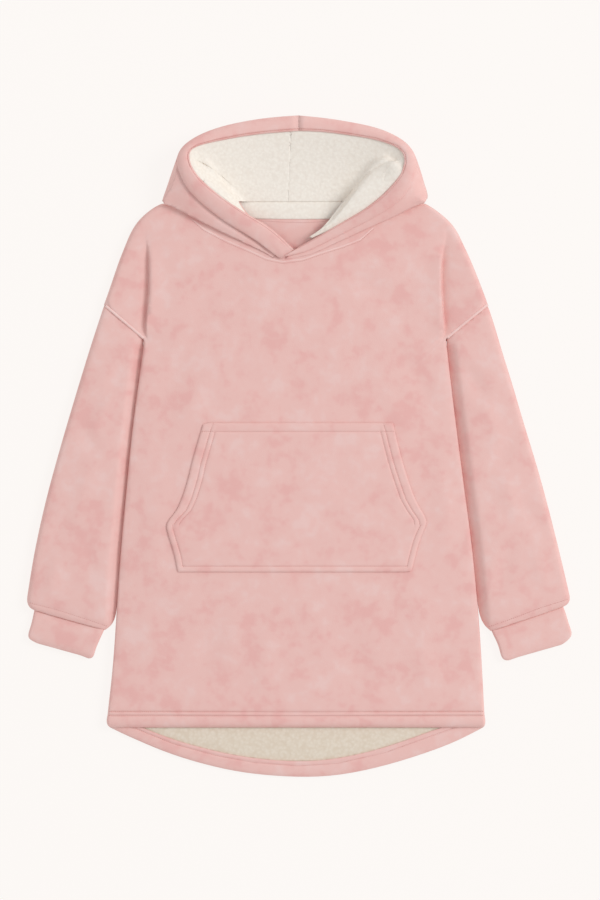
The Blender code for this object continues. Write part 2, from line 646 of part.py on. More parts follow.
def neck_rows(low_y, high_y, marks):
    """Left and right limits of the neck opening at some heights, inside the front neckline."""
    line = [(x, curve_y(FRONT_NECK, x)) for x in body_columns(BODY_EDGES[-1])]
    inside = [p for p in line if abs(p[0]) < NECK_HALF]
    lowest = min(inside, key=lambda p: p[1])
    left = [p for p in inside if p[0] <= lowest[0]][::-1]
    right = [p for p in inside if p[0] >= lowest[0]]
    rows = []
    for mark in marks:
        y = low_y + mark * (high_y - low_y)
        x_left = np.interp(y, [p[1] for p in left], [p[0] for p in left])
        x_right = np.interp(y, [p[1] for p in right], [p[0] for p in right])
        rows.append((y, x_left + NECK_CLEAR, x_right - NECK_CLEAR))
    return rows


def neck_piece(name, low_y, high_y, marks, height, material):
    low = BACK_TOP + SEAM
    top, bottom = [], []
    for y, left, right in neck_rows(low_y, high_y, marks):
        upper, lower = [], []
        for share in (0.0, 0.08, 0.3, 0.5, 0.7, 0.92, 1.0):
            x = left + share * (right - left)
            ends = min(y - low_y, high_y - y, share * (right - left), (1.0 - share) * (right - left))
            upper.append((x, y, low + height * max(rounding(ends, NECK_EDGE), 0.75)))
            lower.append((x, y, low))
        top.append(upper)
        bottom.append(lower)
    return panel(name, top, bottom, material)


def build():
    clear_scene()
    body_back()
    body_front()
    tail_lining()
    tail_hem()
    pocket()
    for name, side, sleeves, cuffs, hoods in (
        ("left", -1, SLEEVE_LEFT, CUFF_LEFT, HOOD_LEFT),
        ("right", 1, SLEEVE_RIGHT, CUFF_RIGHT, HOOD_RIGHT),
    ):
        sleeve("sleeve_" + name, sleeves, side)
        cuff("cuff_" + name, cuffs, side)
        hood_side("hood_" + name, hoods, side)
        hood_lining("hood_lining_" + name, hoods, side)
        hood_band("hood_band_" + name, hoods, side)
    neck_piece("neck_facing", 327.0, 376.5, (0, 0.12, 0.5, 0.88, 1), 2.6, (FLANNEL_PINK, 0.9))
    neck_piece("neck_strip", 376.9, 404.1, (0, 0.15, 0.85, 1), 4.0, (SHERPA_CREAM, 1.0))


build()
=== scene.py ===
"""Looks of a wearable blanket hoodie of plush flannel lined with sherpa, laid flat with its front up.

Every cloth piece is a finer, softer copy of its CAD node's form, with its pile, folds and sewing.
Tables and sizes are in millimetres, in the CAD part's own frame.
"""

import json
import logging
import math
from dataclasses import dataclass, field
from enum import Enum
from typing import Callable

import bpy
import numpy as np
from mathutils import Matrix, Vector, noise
from mathutils.bvhtree import BVHTree
from mathutils.kdtree import KDTree

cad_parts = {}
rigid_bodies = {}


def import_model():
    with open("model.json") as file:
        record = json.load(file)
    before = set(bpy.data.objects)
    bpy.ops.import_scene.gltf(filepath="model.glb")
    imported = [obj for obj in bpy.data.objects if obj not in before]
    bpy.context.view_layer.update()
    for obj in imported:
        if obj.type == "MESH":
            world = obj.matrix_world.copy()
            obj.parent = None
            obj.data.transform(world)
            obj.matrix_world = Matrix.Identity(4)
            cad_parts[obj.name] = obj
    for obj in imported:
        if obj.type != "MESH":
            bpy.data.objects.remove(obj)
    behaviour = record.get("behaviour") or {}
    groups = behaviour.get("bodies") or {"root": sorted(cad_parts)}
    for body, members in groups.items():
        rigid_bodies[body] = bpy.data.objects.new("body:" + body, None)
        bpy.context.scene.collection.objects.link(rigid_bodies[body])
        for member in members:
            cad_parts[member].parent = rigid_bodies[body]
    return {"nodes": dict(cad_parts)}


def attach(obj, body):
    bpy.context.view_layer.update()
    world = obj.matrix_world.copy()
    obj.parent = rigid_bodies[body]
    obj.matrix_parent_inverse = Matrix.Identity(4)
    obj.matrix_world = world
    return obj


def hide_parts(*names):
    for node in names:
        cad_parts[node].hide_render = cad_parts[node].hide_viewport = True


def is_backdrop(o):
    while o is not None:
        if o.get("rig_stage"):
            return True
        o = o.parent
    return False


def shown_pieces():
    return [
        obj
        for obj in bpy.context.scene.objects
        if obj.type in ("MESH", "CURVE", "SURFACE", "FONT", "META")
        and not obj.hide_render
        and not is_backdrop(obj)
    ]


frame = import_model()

logger = logging.getLogger("hoodie")

Row = tuple[float, ...]
Table = tuple[Row, ...]
Pair = tuple[Table, Table]  # the left side's and the right side's
Face = tuple[int, ...]  # the numbers of its points
Step = tuple[Vector, Vector, Vector]  # place, normal and direction

MM = 0.001
MERGE = 0.00005  # metres between points that are merged
CREASE_ANGLE = math.radians(52.0)  # sharper edges of a CAD form stay sharp
SMOOTH_ANGLE = math.radians(60.0)  # blunter edges are shaded smooth
ABOVE = 200.0  # a height above all the cloth
FAR = 1e9  # farther than any distance
TINY = 1e-6  # keeps a division from zero
UP = Vector((0, 0, 1))


class Held(Enum):
    """How a piece of cloth is held."""

    LAID = "laid"
    FOLDED = "folded"


class Cloth(Enum):
    """The cloths: each one's slot in the record, and its state."""

    FLANNEL = ("flannel", "new")
    SHERPA = ("sherpa", "new")
    # a darker, warmer copy of the sherpa: painted shade for the tail's lining under the front hem
    SHERPA_IN_PAINTED_SHADE = ("sherpa", "worn flat")


class Side(Enum):
    """A side of the garment, as seen from above with the hood at the top."""

    LEFT = "left"
    RIGHT = "right"

    @property
    def inward(self) -> float:
        """Return the sign of x towards the middle."""
        return 1.0 if self is Side.LEFT else -1.0

    def pick(self, pair: Pair | Table) -> Table | Row:
        """Return this side's one of a pair."""
        return pair[0] if self is Side.LEFT else pair[1]


def linear(code: str) -> Row:
    """Turn an sRGB hex colour into linear values.

    Args:
        code: Colour such as "#E6BBB6".

    Returns:
        Red, green, blue and alpha, linear.
    """
    values = [int(code[i : i + 2], 16) / 255.0 for i in (1, 3, 5)]
    values = [v / 12.92 if v <= 0.04045 else ((v + 0.055) / 1.055) ** 2.4 for v in values]
    return (*values, 1.0)


def add_node(
    tree: bpy.types.NodeTree, kind: str, values: dict | None = None, links: dict | None = None,
    **settings: object,
) -> bpy.types.Node:
    """Add one shader node.

    Args:
        tree: Node tree that gets it.
        kind: Node type.
        values: Constants by input socket.
        links: Source sockets by input socket.
        **settings: Properties of the node.

    Returns:
        The node.
    """
    item = tree.nodes.new(kind)
    for key, value in settings.items():
        setattr(item, key, value)
    for socket, value in (values or {}).items():
        item.inputs[socket].default_value = value
    for socket, source in (links or {}).items():
        tree.links.new(source, item.inputs[socket])
    return item


class Finish:
    """A material of one surface shader, which each finish describes."""

    def material(self) -> bpy.types.Material:
        """Build the material.

        Returns:
            The material.
        """
        material = bpy.data.materials.new(self.name)
        material.use_nodes = True
        tree = material.node_tree
        tree.nodes.clear()
        shader = add_node(tree, "ShaderNodeBsdfPrincipled", *self.surface(tree))
        add_node(tree, "ShaderNodeOutputMaterial", links={"Surface": shader.outputs["BSDF"]})
        return material


# Brushing leaves a matt pile that lies this way and that, so the eye sees soft pale and deep
# patches. The real fibres are too fine to show, so the nap is drawn coarser than it is.
@dataclass(frozen=True)
class PlushFlannel(Finish):
    """Brushed plush flannel."""

    name: str = "pink plush flannel, circular knit, brushed both sides"
    deep: str = "#E7B4AF"
    middle: str = "#EABFB9"
    pale: str = "#EBC6C1"
    steps: Row = (0.34, 0.51, 0.68)
    patch_mm: float = 38.0
    blot_mm: float = 13.0
    blot_share: float = 0.3
    nap_mm: float = 1.6
    nap_depth_mm: float = 0.35
    sheen: float = 0.15

    def surface(self, tree: bpy.types.NodeTree) -> tuple[dict, dict]:
        """Build the pile: broad and small patches in colour, and its nap as bump.

        Args:
            tree: Node tree that gets it.

        Returns:
            The shader's values and links.
        """
        place = add_node(tree, "ShaderNodeTexCoord").outputs["Object"]
        patch, blot, nap = (
            add_node(
                tree, "ShaderNodeTexNoise",
                {"Scale": 1.0 / (size * MM), "Detail": detail, "Roughness": rough, "Distortion": bend},
                {"Vector": place},
            ).outputs["Fac"]
            for size, detail, rough, bend in (
                (self.patch_mm, 2.5, 0.5, 0.2), (self.blot_mm, 2.0, 0.5, 0.0), (self.nap_mm, 2.0, 0.7, 0.0)
            )
        )
        share = add_node(
            tree, "ShaderNodeMix", {"Factor": self.blot_share}, {"A": patch, "B": blot}, data_type="FLOAT"
        )
        ramp = add_node(tree, "ShaderNodeValToRGB", links={"Fac": share.outputs["Result"]})
        ramp.color_ramp.interpolation = "EASE"
        elements = ramp.color_ramp.elements
        elements[0].position, elements[0].color = self.steps[0], linear(self.deep)
        elements[1].position, elements[1].color = self.steps[2], linear(self.pale)
        elements.new(self.steps[1]).color = linear(self.middle)
        bump = add_node(
            tree, "ShaderNodeBump", {"Strength": 0.5, "Distance": self.nap_depth_mm * MM}, {"Height": nap}
        )
        values = {
            "Roughness": 0.95, "Specular IOR Level": 0.15, "Sheen Weight": self.sheen,
            "Sheen Roughness": 0.5, "Sheen Tint": linear("#FBE9E4"),
        }
        return values, {"Base Color": ramp.outputs["Color"], "Normal": bump.outputs["Normal"]}


# Steam curls the knitted pile into small tufts, so the eye sees a matt cream, with painted shade
# that makes it a little darker between them. The fibres on them are drawn coarser than they are, so that
# they show.
@dataclass(frozen=True)
class Sherpa(Finish):
    """Sherpa with a knitted, curled pile."""

    name: str = "cream sherpa, knitted pile curled by steam"
    crown: str = "#F6F0E7"
    tuft_gap_shade: str = "#EFE7DD"
    tuft_mm: float = 5.0
    fibre_mm: float = 1.2
    depth_mm: float = 0.6
    bump: float = 0.22

    def surface(self, tree: bpy.types.NodeTree) -> tuple[dict, dict]:
        """Build the curly pile: tufts in bump, with painted shade between them in colour, and fine fibres
        on them.

        Args:
            tree: Node tree that gets it.

        Returns:
            The shader's values and links.
        """
        place = add_node(tree, "ShaderNodeTexCoord").outputs["Object"]
        warp, fibre = (
            add_node(tree, "ShaderNodeTexNoise", {"Scale": 1.0 / (s * MM), "Detail": d}, {"Vector": place})
            for s, d in ((self.tuft_mm, 1.0), (self.fibre_mm, 2.0))
        )
        shifted = add_node(
            tree, "ShaderNodeVectorMath", {1: (self.tuft_mm * MM,) * 3},
            {0: warp.outputs["Color"], 2: place}, operation="MULTIPLY_ADD",
        )
        tuft = add_node(
            tree, "ShaderNodeTexVoronoi", {"Scale": 1.0 / (self.tuft_mm * MM), "Smoothness": 0.8},
            {"Vector": shifted.outputs["Vector"]}, feature="SMOOTH_F1",
        )
        low = add_node(
            tree, "ShaderNodeMapRange", {"From Min": 0.1, "From Max": 0.75},
            {"Value": tuft.outputs["Distance"]},
        ).outputs["Result"]
        # painted shade: the gaps between tufts take the darker colour
        colour = add_node(
            tree, "ShaderNodeMix", {6: linear(self.crown), 7: linear(self.tuft_gap_shade)}, {"Factor": low},
            data_type="RGBA",
        )
        height = add_node(
            tree, "ShaderNodeMath", {1: -1.0}, {0: low, 2: fibre.outputs["Fac"]}, operation="MULTIPLY_ADD"
        )
        bump = add_node(
            tree, "ShaderNodeBump", {"Strength": self.bump, "Distance": self.depth_mm * MM},
            {"Height": height.outputs["Value"]},
        )
        values = {
            "Roughness": 1.0, "Specular IOR Level": 0.1, "Sheen Weight": 0.08,
            "Sheen Roughness": 0.6, "Sheen Tint": linear("#FFF8EE"),
        }
        return values, {"Base Color": colour.outputs[2], "Normal": bump.outputs["Normal"]}


# Spun polyester has no gloss, so the eye sees a thin matt line that lies in the pile.
@dataclass(frozen=True)
class SewingThread(Finish):
    """Spun polyester sewing thread, dyed to the flannel but painted darker, as painted shade of its stitch
    grooves.
    """

    name: str = "pink spun polyester thread, two ply"
    # painted shade: darker than the flannel, for the shade in the stitch groove
    colour: str = "#CD958F"

    def surface(self, _tree: bpy.types.NodeTree) -> tuple[dict, dict]:
        """Return the shader's values and links: a plain matt thread."""
        return {"Base Color": linear(self.colour), "Roughness": 0.8, "Specular IOR Level": 0.25}, {}


# Rolled paper without a coating is even and matt, so the eye sees a warm white that hardly
# takes a shadow.
@dataclass(frozen=True)
class BackdropPaper(Finish):
    """Uncoated backdrop paper, rolled and lit from behind."""

    name: str = "warm white backdrop paper, calendered"
    colour: str = "#FCF8F5"
    glow: float = 0.91
    base: float = 0.10

    def surface(self, _tree: bpy.types.NodeTree) -> tuple[dict, dict]:
        """Return the shader's values and links: matt paper that glows."""
        tone = linear(self.colour)
        return {
            "Base Color": (*(self.base * c for c in tone[:3]), 1.0), "Roughness": 1.0,
            "Specular IOR Level": 0.0, "Emission Color": tone, "Emission Strength": self.glow,
        }, {}


def smooth_step(values: np.ndarray, low: float, high: float) -> np.ndarray:
    """Return 0 below low, 1 above high and an eased value between."""
    share = np.clip((values - low) / (high - low), 0.0, 1.0)
    return share * share * (3.0 - 2.0 * share)


def between(outer: Table, inner: Table, share: float) -> Table:
    """Return the path that lies a share of the way from one path to another."""
    start, end = np.array(outer, float), np.array(inner, float)
    return tuple(map(tuple, start + share * (end - start)))


@dataclass(frozen=True)
class FoldField:
    """Soft troughs and ridges and a slow unevenness, read as one height over the plan."""

    rows: Table  # x, y, angle, length, width and rise of each
    uneven: float  # height of the unevenness
    wave: float  # its wavelength
    seed: float  # shifts its pattern

    def height(self, points: np.ndarray) -> np.ndarray:
        """Read the field.

        Args:
            points: N by 2 or more columns.

        Returns:
            The height at each point.
        """
        total = np.zeros(len(points))
        for x, y, angle, length, width, rise in self.rows:
            turn = math.radians(angle)
            dx, dy = points[:, 0] - x, points[:, 1] - y
            along = (dx * math.cos(turn) + dy * math.sin(turn)) / (0.5 * length)
            across = (-dx * math.sin(turn) + dy * math.cos(turn)) / width
            total += rise * np.clip(1.0 - along * along, 0.0, 1.0) ** 2 * np.exp(-across * across)
        spots = [Vector((x / self.wave, y / self.wave, self.seed)) for x, y in points[:, :2]]
        return total + self.uneven * np.array([noise.noise(s) for s in spots])


@dataclass(frozen=True)
class PlanPath:
    """A path in plan, with or without a value at each knot."""

    rows: Table

    def read(self, points: np.ndarray) -> tuple[np.ndarray, np.ndarray, np.ndarray]:
        """Measure points against the path.

        Args:
            points: N by 2 or more columns.

        Returns:
            Each point's distance, whether it lies left of the path, and the value beside it.
        """
        knots = np.array([(*row, 0.0)[:3] for row in self.rows], float)
        nearest = np.full(len(points), FAR)
        left, value = np.zeros(len(points), bool), np.zeros(len(points))
        for start, end in zip(knots[:-1], knots[1:]):
            way = end[:2] - start[:2]
            share = np.clip(((points[:, :2] - start[:2]) @ way) / (way @ way), 0.0, 1.0)
            away = points[:, :2] - start[:2] - share[:, None] * way
            gap = np.hypot(away[:, 0], away[:, 1])
            closer = gap < nearest
            left = np.where(closer, way[0] * away[:, 1] > way[1] * away[:, 0], left)
            value = np.where(closer, start[2] + share * (end[2] - start[2]), value)
            nearest = np.where(closer, gap, nearest)
        return nearest, left, value


@dataclass(frozen=True)
class StitchLine:
    """One line of topstitching in plan, and how it presses into the cloth."""

    path: Table
    depth: float = 0.8
    width: float = 1.0

    def distance(self, points: np.ndarray) -> np.ndarray:
        """Return each point's distance from the line in plan."""
        return PlanPath(self.path).read(points)[0]


@dataclass
class ClothPiece:
    """One cut piece, made on its CAD node's form."""

    node: str
    cloth: Cloth
    flat: tuple[float, float]
    area: float
    held: Held
    rests_on: tuple[str, ...] = ()
    levels: int = 2
    grid: float = 0.0
    seam_near: float = 0.8  # points this near the middle lie on its seam
    seam_lap: float = 0.3
    twin_reach: float = 0.12  # in plan, from a point to its twin on the cloth's other side
    wall: tuple[float, float] = (4.0, 7.0)  # height between the two
    twin_turn: float = -0.8  # their normals' product, at most
    upward: float = 0.15  # rise of an upper point's normal, at least
    cell: float = 1.5  # of the height map that a crease is filled by
    closed: float = 0.1  # what is left of the depth of a closed crease
    close_reach: tuple[float, float] = (4.5, 8.0)
    pile_level: float = 0.55  # share of a tuft's size at which the pile's height stays
    curl: float = 0.35
    curl_rate: float = 2.3
    item: bpy.types.Object = field(default=None, init=False, repr=False)

    def copy_form(self) -> None:
        """Copy the CAD node's form, merge it into quads, keep its sharp edges and smooth the rest."""
        bpy.ops.object.select_all(action="DESELECT")
        source = frame["nodes"][self.node]
        source.select_set(True)
        bpy.context.view_layer.objects.active = source
        bpy.ops.object.duplicate()
        item = self.item = bpy.context.view_layer.objects.active
        bpy.ops.object.parent_clear(type="CLEAR_KEEP_TRANSFORM")
        for key in [k for k in item.keys() if k.startswith("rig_")]:
            del item[key]
        item.name = item.data.name = self.node + "_cloth"
        item.data.materials.clear()
        bpy.ops.object.mode_set(mode="EDIT")
        bpy.ops.mesh.select_all(action="SELECT")
        bpy.ops.mesh.remove_doubles(threshold=MERGE)
        bpy.ops.mesh.normals_make_consistent(inside=False)
        bpy.ops.mesh.tris_convert_to_quads(face_threshold=math.pi, shape_threshold=math.pi)
        bpy.ops.mesh.select_all(action="DESELECT")
        bpy.ops.mesh.select_mode(type="EDGE")
        bpy.ops.mesh.edges_select_sharp(sharpness=CREASE_ANGLE)
        bpy.ops.transform.edge_crease(value=1.0)
        bpy.ops.mesh.select_all(action="DESELECT")
        bpy.ops.object.mode_set(mode="OBJECT")
        smooth = item.modifiers.new("smooth", "SUBSURF")
        smooth.levels = smooth.render_levels = self.levels
        bpy.ops.object.modifier_apply(modifier=smooth.name)
        if self.grid:
            self.cut_grid()
        bpy.ops.object.shade_smooth_by_angle(angle=SMOOTH_ANGLE)

    def cut_grid(self) -> None:
        """Cut the flat stretches into a grid in plan, so that folds and pile can shape them."""
        points = self.points()
        low, high = points.min(axis=0), points.max(axis=0)
        bpy.ops.object.mode_set(mode="EDIT")
        for axis in (0, 1):
            way = Vector(np.eye(3)[axis])
            count = int((high[axis] - low[axis]) / self.grid)
            for k in range(1, count):
                place = way * ((low[axis] + (high[axis] - low[axis]) * k / count) * MM)
                bpy.ops.mesh.select_all(action="SELECT")
                bpy.ops.mesh.bisect(plane_co=place, plane_no=way)
        bpy.ops.mesh.select_all(action="SELECT")
        bpy.ops.mesh.remove_doubles(threshold=MERGE)
        bpy.ops.mesh.select_all(action="DESELECT")
        bpy.ops.object.mode_set(mode="OBJECT")

    def read(self, key: str) -> np.ndarray:
        """Read a vector at each point.

        Args:
            key: Name of the vector.

        Returns:
            N by 3 columns.
        """
        flat = np.empty(3 * len(self.item.data.vertices))
        self.item.data.vertices.foreach_get(key, flat)
        return flat.reshape(-1, 3)

    def points(self) -> np.ndarray:
        """Return the piece's points in millimetres."""
        return self.read("co") / MM

    def set_points(self, points: np.ndarray) -> None:
        """Put the piece's points, in millimetres, where they are given."""
        self.item.data.vertices.foreach_set("co", (points * MM).ravel())
        self.item.data.update()

    def normals(self) -> np.ndarray:
        """Return the piece's normals, one for each point."""
        return self.read("normal")

    def lift(self, folds: FoldField, share: Callable[[np.ndarray], np.ndarray]) -> None:
        """Raise the points by the height of the folds.

        Args:
            folds: The folds over the plan.
            share: Function of points that gives each one's part of it, 0 to 1.
        """
        points = self.points()
        points[:, 2] += folds.height(points) * share(points)
        self.set_points(points)

    def press(self, *lines: StitchLine) -> None:
        """Press some lines into the cloth's upper face.

        Args:
            *lines: The lines, with their depth and width.
        """
        for line in lines:
            points = self.points()
            near = np.exp(-((line.distance(points) / line.width) ** 2))
            points[:, 2] -= line.depth * near * self.upper()
            self.set_points(points)

    def soften(self, share: np.ndarray, rounds: int, axes: tuple[int, ...] = (2,)) -> None:
        """Draw each point to its neighbours' mean.

        Args:
            share: How much each point may move, 0 to 1.
            rounds: How often it is drawn.
            axes: The axes along which it is drawn, the upright one alone for the heights.
        """
        mesh = self.item.data
        pairs = np.empty(2 * len(mesh.edges), int)
        mesh.edges.foreach_get("vertices", pairs)
        pairs = pairs.reshape(-1, 2)
        points = self.points()
        count = np.bincount(pairs.ravel(), minlength=len(points))
        for _ in range(rounds):
            for axis in axes:
                total = np.bincount(pairs[:, 0], points[pairs[:, 1], axis], len(points))
                total += np.bincount(pairs[:, 1], points[pairs[:, 0], axis], len(points))
                points[:, axis] += share * (total / count - points[:, axis])
        self.set_points(points)

    def even_out(self, path: Table, reach: float, spread: float, depth: float) -> None:
        """Fill a sharp crease of the top up to the evened height of its banks.

        Args:
            path: The crease in plan.
            reach: Distance over which the filling fades.
            spread: Distance over which the banks' heights are evened.
            depth: Depth below the filling at which the cloth's underside stays.
        """
        points = self.points()
        gap = PlanPath(path).read(points)[0]
        cells = (points[:, :2] - points[:, :2].min(axis=0)) / self.cell + 1.0
        tall = np.zeros(cells.max(axis=0).astype(int) + 3)
        np.maximum.at(tall, tuple(cells.astype(int).T), points[:, 2])
        last = math.ceil(3.0 * spread)
        kernel = np.exp(-0.5 * (np.arange(-last, last + 1) * self.cell / spread) ** 2)
        sums = []
        for grid in (tall, (tall > 0.0).astype(float)):
            for axis in (0, 1):
                grid = np.apply_along_axis(np.convolve, axis, grid, kernel, "same")
            sums.append(grid)
        mean = sums[0] / np.maximum(sums[1], TINY)
        base = (cells - 0.5).astype(int)
        u, v = (cells - 0.5 - base).T
        i, j = base.T
        level = (1 - u) * ((1 - v) * mean[i, j] + v * mean[i, j + 1])
        level += u * ((1 - v) * mean[i + 1, j] + v * mean[i + 1, j + 1])
        below = np.minimum(points[:, 2], level - depth)
        closed = level - self.closed * (level - points[:, 2])
        below += (1.0 - smooth_step(gap, *self.close_reach)) * (closed - below)
        target = np.where(points[:, 2] > level - depth, level, below)
        points[:, 2] += np.exp(-((gap / reach) ** 4)) * (target - points[:, 2])
        self.set_points(points)

    def nudge(self, rows: Table) -> None:
        """Draw the cloth round some places a little to a side.

        Args:
            rows: Each place's x and y, how far its points move along x, y and z, and the reach.
        """
        points = self.points()
        for x, y, dx, dy, dz, reach in rows:
            gap = np.hypot(points[:, 0] - x, points[:, 1] - y)
            points += np.exp(-((gap / reach) ** 2))[:, None] * np.array((dx, dy, dz))
        self.set_points(points)

    def draw_up(self, line: Table, side: Side, start: float, reach: float, move: float) -> None:
        """Draw a tube's end up over the line that it is sewn to.

        Args:
            line: The line, of which the two ends count.
            side: The tube's side.
            start: Distance below the line up to which the cloth moves in full.
            reach: Distance over which the move then fades.
            move: How far it moves.
        """
        points = self.points()
        outer, inner = (np.array(knot, float) for knot in (line[0], line[-1]))
        x, y = (inner - outer) / np.hypot(*(inner - outer))
        up = side.inward * np.array((-y, x))
        near = 1.0 - smooth_step((outer - points[:, :2]) @ up, start, start + reach)
        points[:, :2] += move * near[:, None] * up
        self.set_points(points)

    def lap_middle(self) -> None:
        """Let the middle seam's edge lap a little over the other half's, so that no gap shows."""
        points = self.points()
        near = np.abs(points[:, 0]) < self.seam_near
        points[:, 0] = np.where(near, -self.seam_lap * np.sign(np.mean(points[:, 0])), points[:, 0])
        self.set_points(points)

    def top(self) -> np.ndarray:
        """Find the cloth's two faces.

        Returns:
            1 for each point whose twin lies under it, across the cloth, and 0 for the twins.
        """
        points, normals = self.points(), self.normals()
        tree = KDTree(len(points))
        for i, (x, y, _) in enumerate(points):
            tree.insert((x, y, 0.0), i)
        tree.balance()
        low, high = self.wall
        top = np.ones(len(points))
        for i, (x, y, z) in enumerate(points):
            for _, j, _ in tree.find_range((x, y, 0.0), self.twin_reach):
                if low < points[j, 2] - z < high and normals[i] @ normals[j] < self.twin_turn:
                    top[i] = 0.0
        return top

    def upper(self) -> np.ndarray:
        """Return 1 for each point of the upper face and 0 for the others."""
        return (self.normals()[:, 2] > self.upward).astype(float)

    def fluff(self, depth: float, tuft: float, seed: float) -> None:
        """Raise curly tufts over the whole piece.

        Args:
            depth: How far they stand out.
            tuft: Their size.
            seed: Shifts their pattern.
        """
        points, normals = self.points(), self.normals()
        moved = []
        for x, y, z in points:
            spot = Vector((x / tuft, y / tuft, z / tuft + seed))
            near = noise.voronoi(spot, distance_metric="DISTANCE")[0]
            moved.append(self.pile_level - near[0] + self.curl * noise.noise(spot * self.curl_rate))
        points += normals * (depth * np.array(moved))[:, None]
        self.set_points(points)

    def dress(self, materials: dict[Cloth, bpy.types.Material]) -> None:
        """Give the piece its cloth and its place in the frame, and hide its CAD node.

        Args:
            materials: The cloths' materials.
        """
        self.item.data.materials.append(materials[self.cloth])
        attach(self.item, "root")
        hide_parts(self.node)


def search_tree(cloth: ClothPiece) -> BVHTree:
    """Return a search tree of the cloth's faces, in millimetres."""
    faces = [tuple(f.vertices) for f in cloth.item.data.polygons]
    return BVHTree.FromPolygons([Vector(p) for p in cloth.points()], faces)


def lay_steps(path: Table, pitch: float, trees: list[BVHTree], bridge: bool = False) -> list[Step]:
    """Lay even steps of a path on the highest cloth below them.

    Args:
        path: Knots in plan.
        pitch: Distance between steps.
        trees: Search trees of the cloths.
        bridge: Keep a step that lies over a gap, at no height.

    Returns:
        Place, normal and direction in plan of each step.
    """
    knots = np.array(path, float)
    way = np.concatenate([[0.0], np.cumsum(np.hypot(*np.diff(knots, axis=0).T))])
    count = max(1, int(way[-1] / pitch))
    marks = (np.arange(count) + 0.5) * way[-1] / count
    places, ahead, behind = (
        np.stack([np.interp(marks + s, way, knots[:, k]) for k in (0, 1)], axis=1)
        for s in (0.0, 0.5 * pitch, -0.5 * pitch)
    )
    steps = []
    for (x, y), (dx, dy) in zip(places, ahead - behind):
        hits = [t.ray_cast(Vector((x, y, ABOVE)), -UP) for t in trees]
        hits = [h for h in hits if h[0] is not None]
        if hits:
            place, normal = max(hits, key=lambda h: h[0].z)[:2]
            steps.append((place, normal, Vector((dx, dy, 0.0))))
        elif bridge:
            steps.append((Vector((x, y, 0.0)), UP, Vector((dx, dy, 0.0))))
    return steps


def sew_piece(
    name: str, points: list[np.ndarray], faces: list[Face], material: bpy.types.Material
) -> None:
    """Turn the primitive that was just added into a sewn piece.

    Args:
        name: The piece's name.
        points: Arrays of its points, in millimetres.
        faces: Its faces.
        material: Its thread or cloth.
    """
    item = bpy.context.view_layer.objects.active
    item.name = item.data.name = name
    item.data.clear_geometry()
    item.data.from_pydata(np.vstack(points) * MM, [], faces)
    item.data.update()
    bpy.ops.object.mode_set(mode="EDIT")
    bpy.ops.mesh.select_all(action="SELECT")
    bpy.ops.mesh.normals_make_consistent(inside=False)
    bpy.ops.object.mode_set(mode="OBJECT")
    bpy.ops.object.shade_smooth()
    item.data.materials.append(material)
    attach(item, "root")


@dataclass(frozen=True)
class SeamRoll:
    """A seam's turned edge that stands up as a low round ridge."""

    name: str
    half_width: float = 2.5
    height: float = 2.1
    sunk: float = 0.2
    beside: float = 2.6  # the cloth's height is read this far to each side
    pitch: float = 3.0
    sides: int = 10
    even: int = 5  # steps over which that height is evened

    def build(self, path: Table, cloths: list[ClothPiece], material: bpy.types.Material) -> None:
        """Sweep the ridge along a path on the cloth.

        Args:
            path: Knots in plan.
            cloths: Pieces that it lies on.
            material: Its cloth.
        """
        trees = [search_tree(c) for c in cloths]
        steps = []
        for place, _, along in lay_steps(path, self.pitch, trees, bridge=True):
            side = UP.cross(along).normalized()
            ends = ((place + sign * self.beside * side).xy for sign in (1.0, -1.0))
            found = [lay_steps((e - along.xy, e + along.xy), FAR, trees) for e in ends]
            height = [f[0][0].z for f in found if f]
            if height:
                steps.append((place, side, sum(height) / len(height)))
        heights = np.pad([step[2] for step in steps], self.even // 2, mode="edge")
        heights = np.convolve(heights, np.full(self.even, 1.0 / self.even), mode="valid") - self.sunk
        turns = np.arange(self.sides) * 2.0 * math.pi / self.sides
        rows = []
        for (place, side, _), height in zip(steps, heights):
            across = self.half_width * np.cos(turns)[:, None] * np.array(side)
            across += self.height * np.sin(turns)[:, None] * np.array(UP)
            rows.append(np.array((place.x, place.y, height)) + across)
        count = self.sides
        faces = [
            tuple(k * count + n for n in (i, (i + 1) % count, count + (i + 1) % count, count + i))
            for k in range(len(rows) - 1) for i in range(count)
        ]
        faces += [tuple(reversed(range(count))), tuple((len(rows) - 1) * count + i for i in range(count))]
        bpy.ops.object.select_all(action="DESELECT")
        bpy.ops.mesh.primitive_circle_add(vertices=count, radius=self.half_width * MM, location=(0, 0, 0))
        sew_piece(self.name, rows, faces, material)


# Thread is about 0.4 mm thick, too fine to show, so the stitches are drawn thicker than they are.
@dataclass(frozen=True)
class StitchRow:
    """Rows of topstitching that lie on the cloth, joined into one piece."""

    name: str
    pitch: float = 3.4
    length: float = 2.6
    radius: float = 0.6
    sink: float = 0.25
    sides: int = 6
    rings: int = 4

    def build(self, lines: list[StitchLine], cloth: ClothPiece, material: bpy.types.Material) -> None:
        """Lay a stitch at each step of each line on the cloth below it.

        Args:
            lines: The lines of stitching.
            cloth: The piece that they lie on.
            material: The thread.
        """
        tree = search_tree(cloth)
        bpy.ops.object.select_all(action="DESELECT")
        bpy.ops.mesh.primitive_uv_sphere_add(
            segments=self.sides, ring_count=self.rings, radius=1.0, location=(0, 0, 0)
        )
        mesh = bpy.context.view_layer.objects.active.data
        unit = np.array([v.co[:] for v in mesh.vertices])[:, [2, 0, 1]]
        unit *= (0.5 * self.length, self.radius, self.radius)
        stitch = [tuple(p.vertices) for p in mesh.polygons]
        points, faces = [], []
        for line in lines:
            for place, normal, along in lay_steps(line.path, self.pitch, [tree]):
                side = normal.cross(along).normalized()
                turn = np.array([side.cross(normal)[:], side[:], normal[:]])
                base = len(points) * len(unit)
                points.append(unit @ turn + np.array(place) - self.sink * np.array(normal))
                faces += [tuple(base + i for i in f) for f in stitch]
        sew_piece(self.name, points, faces, material)


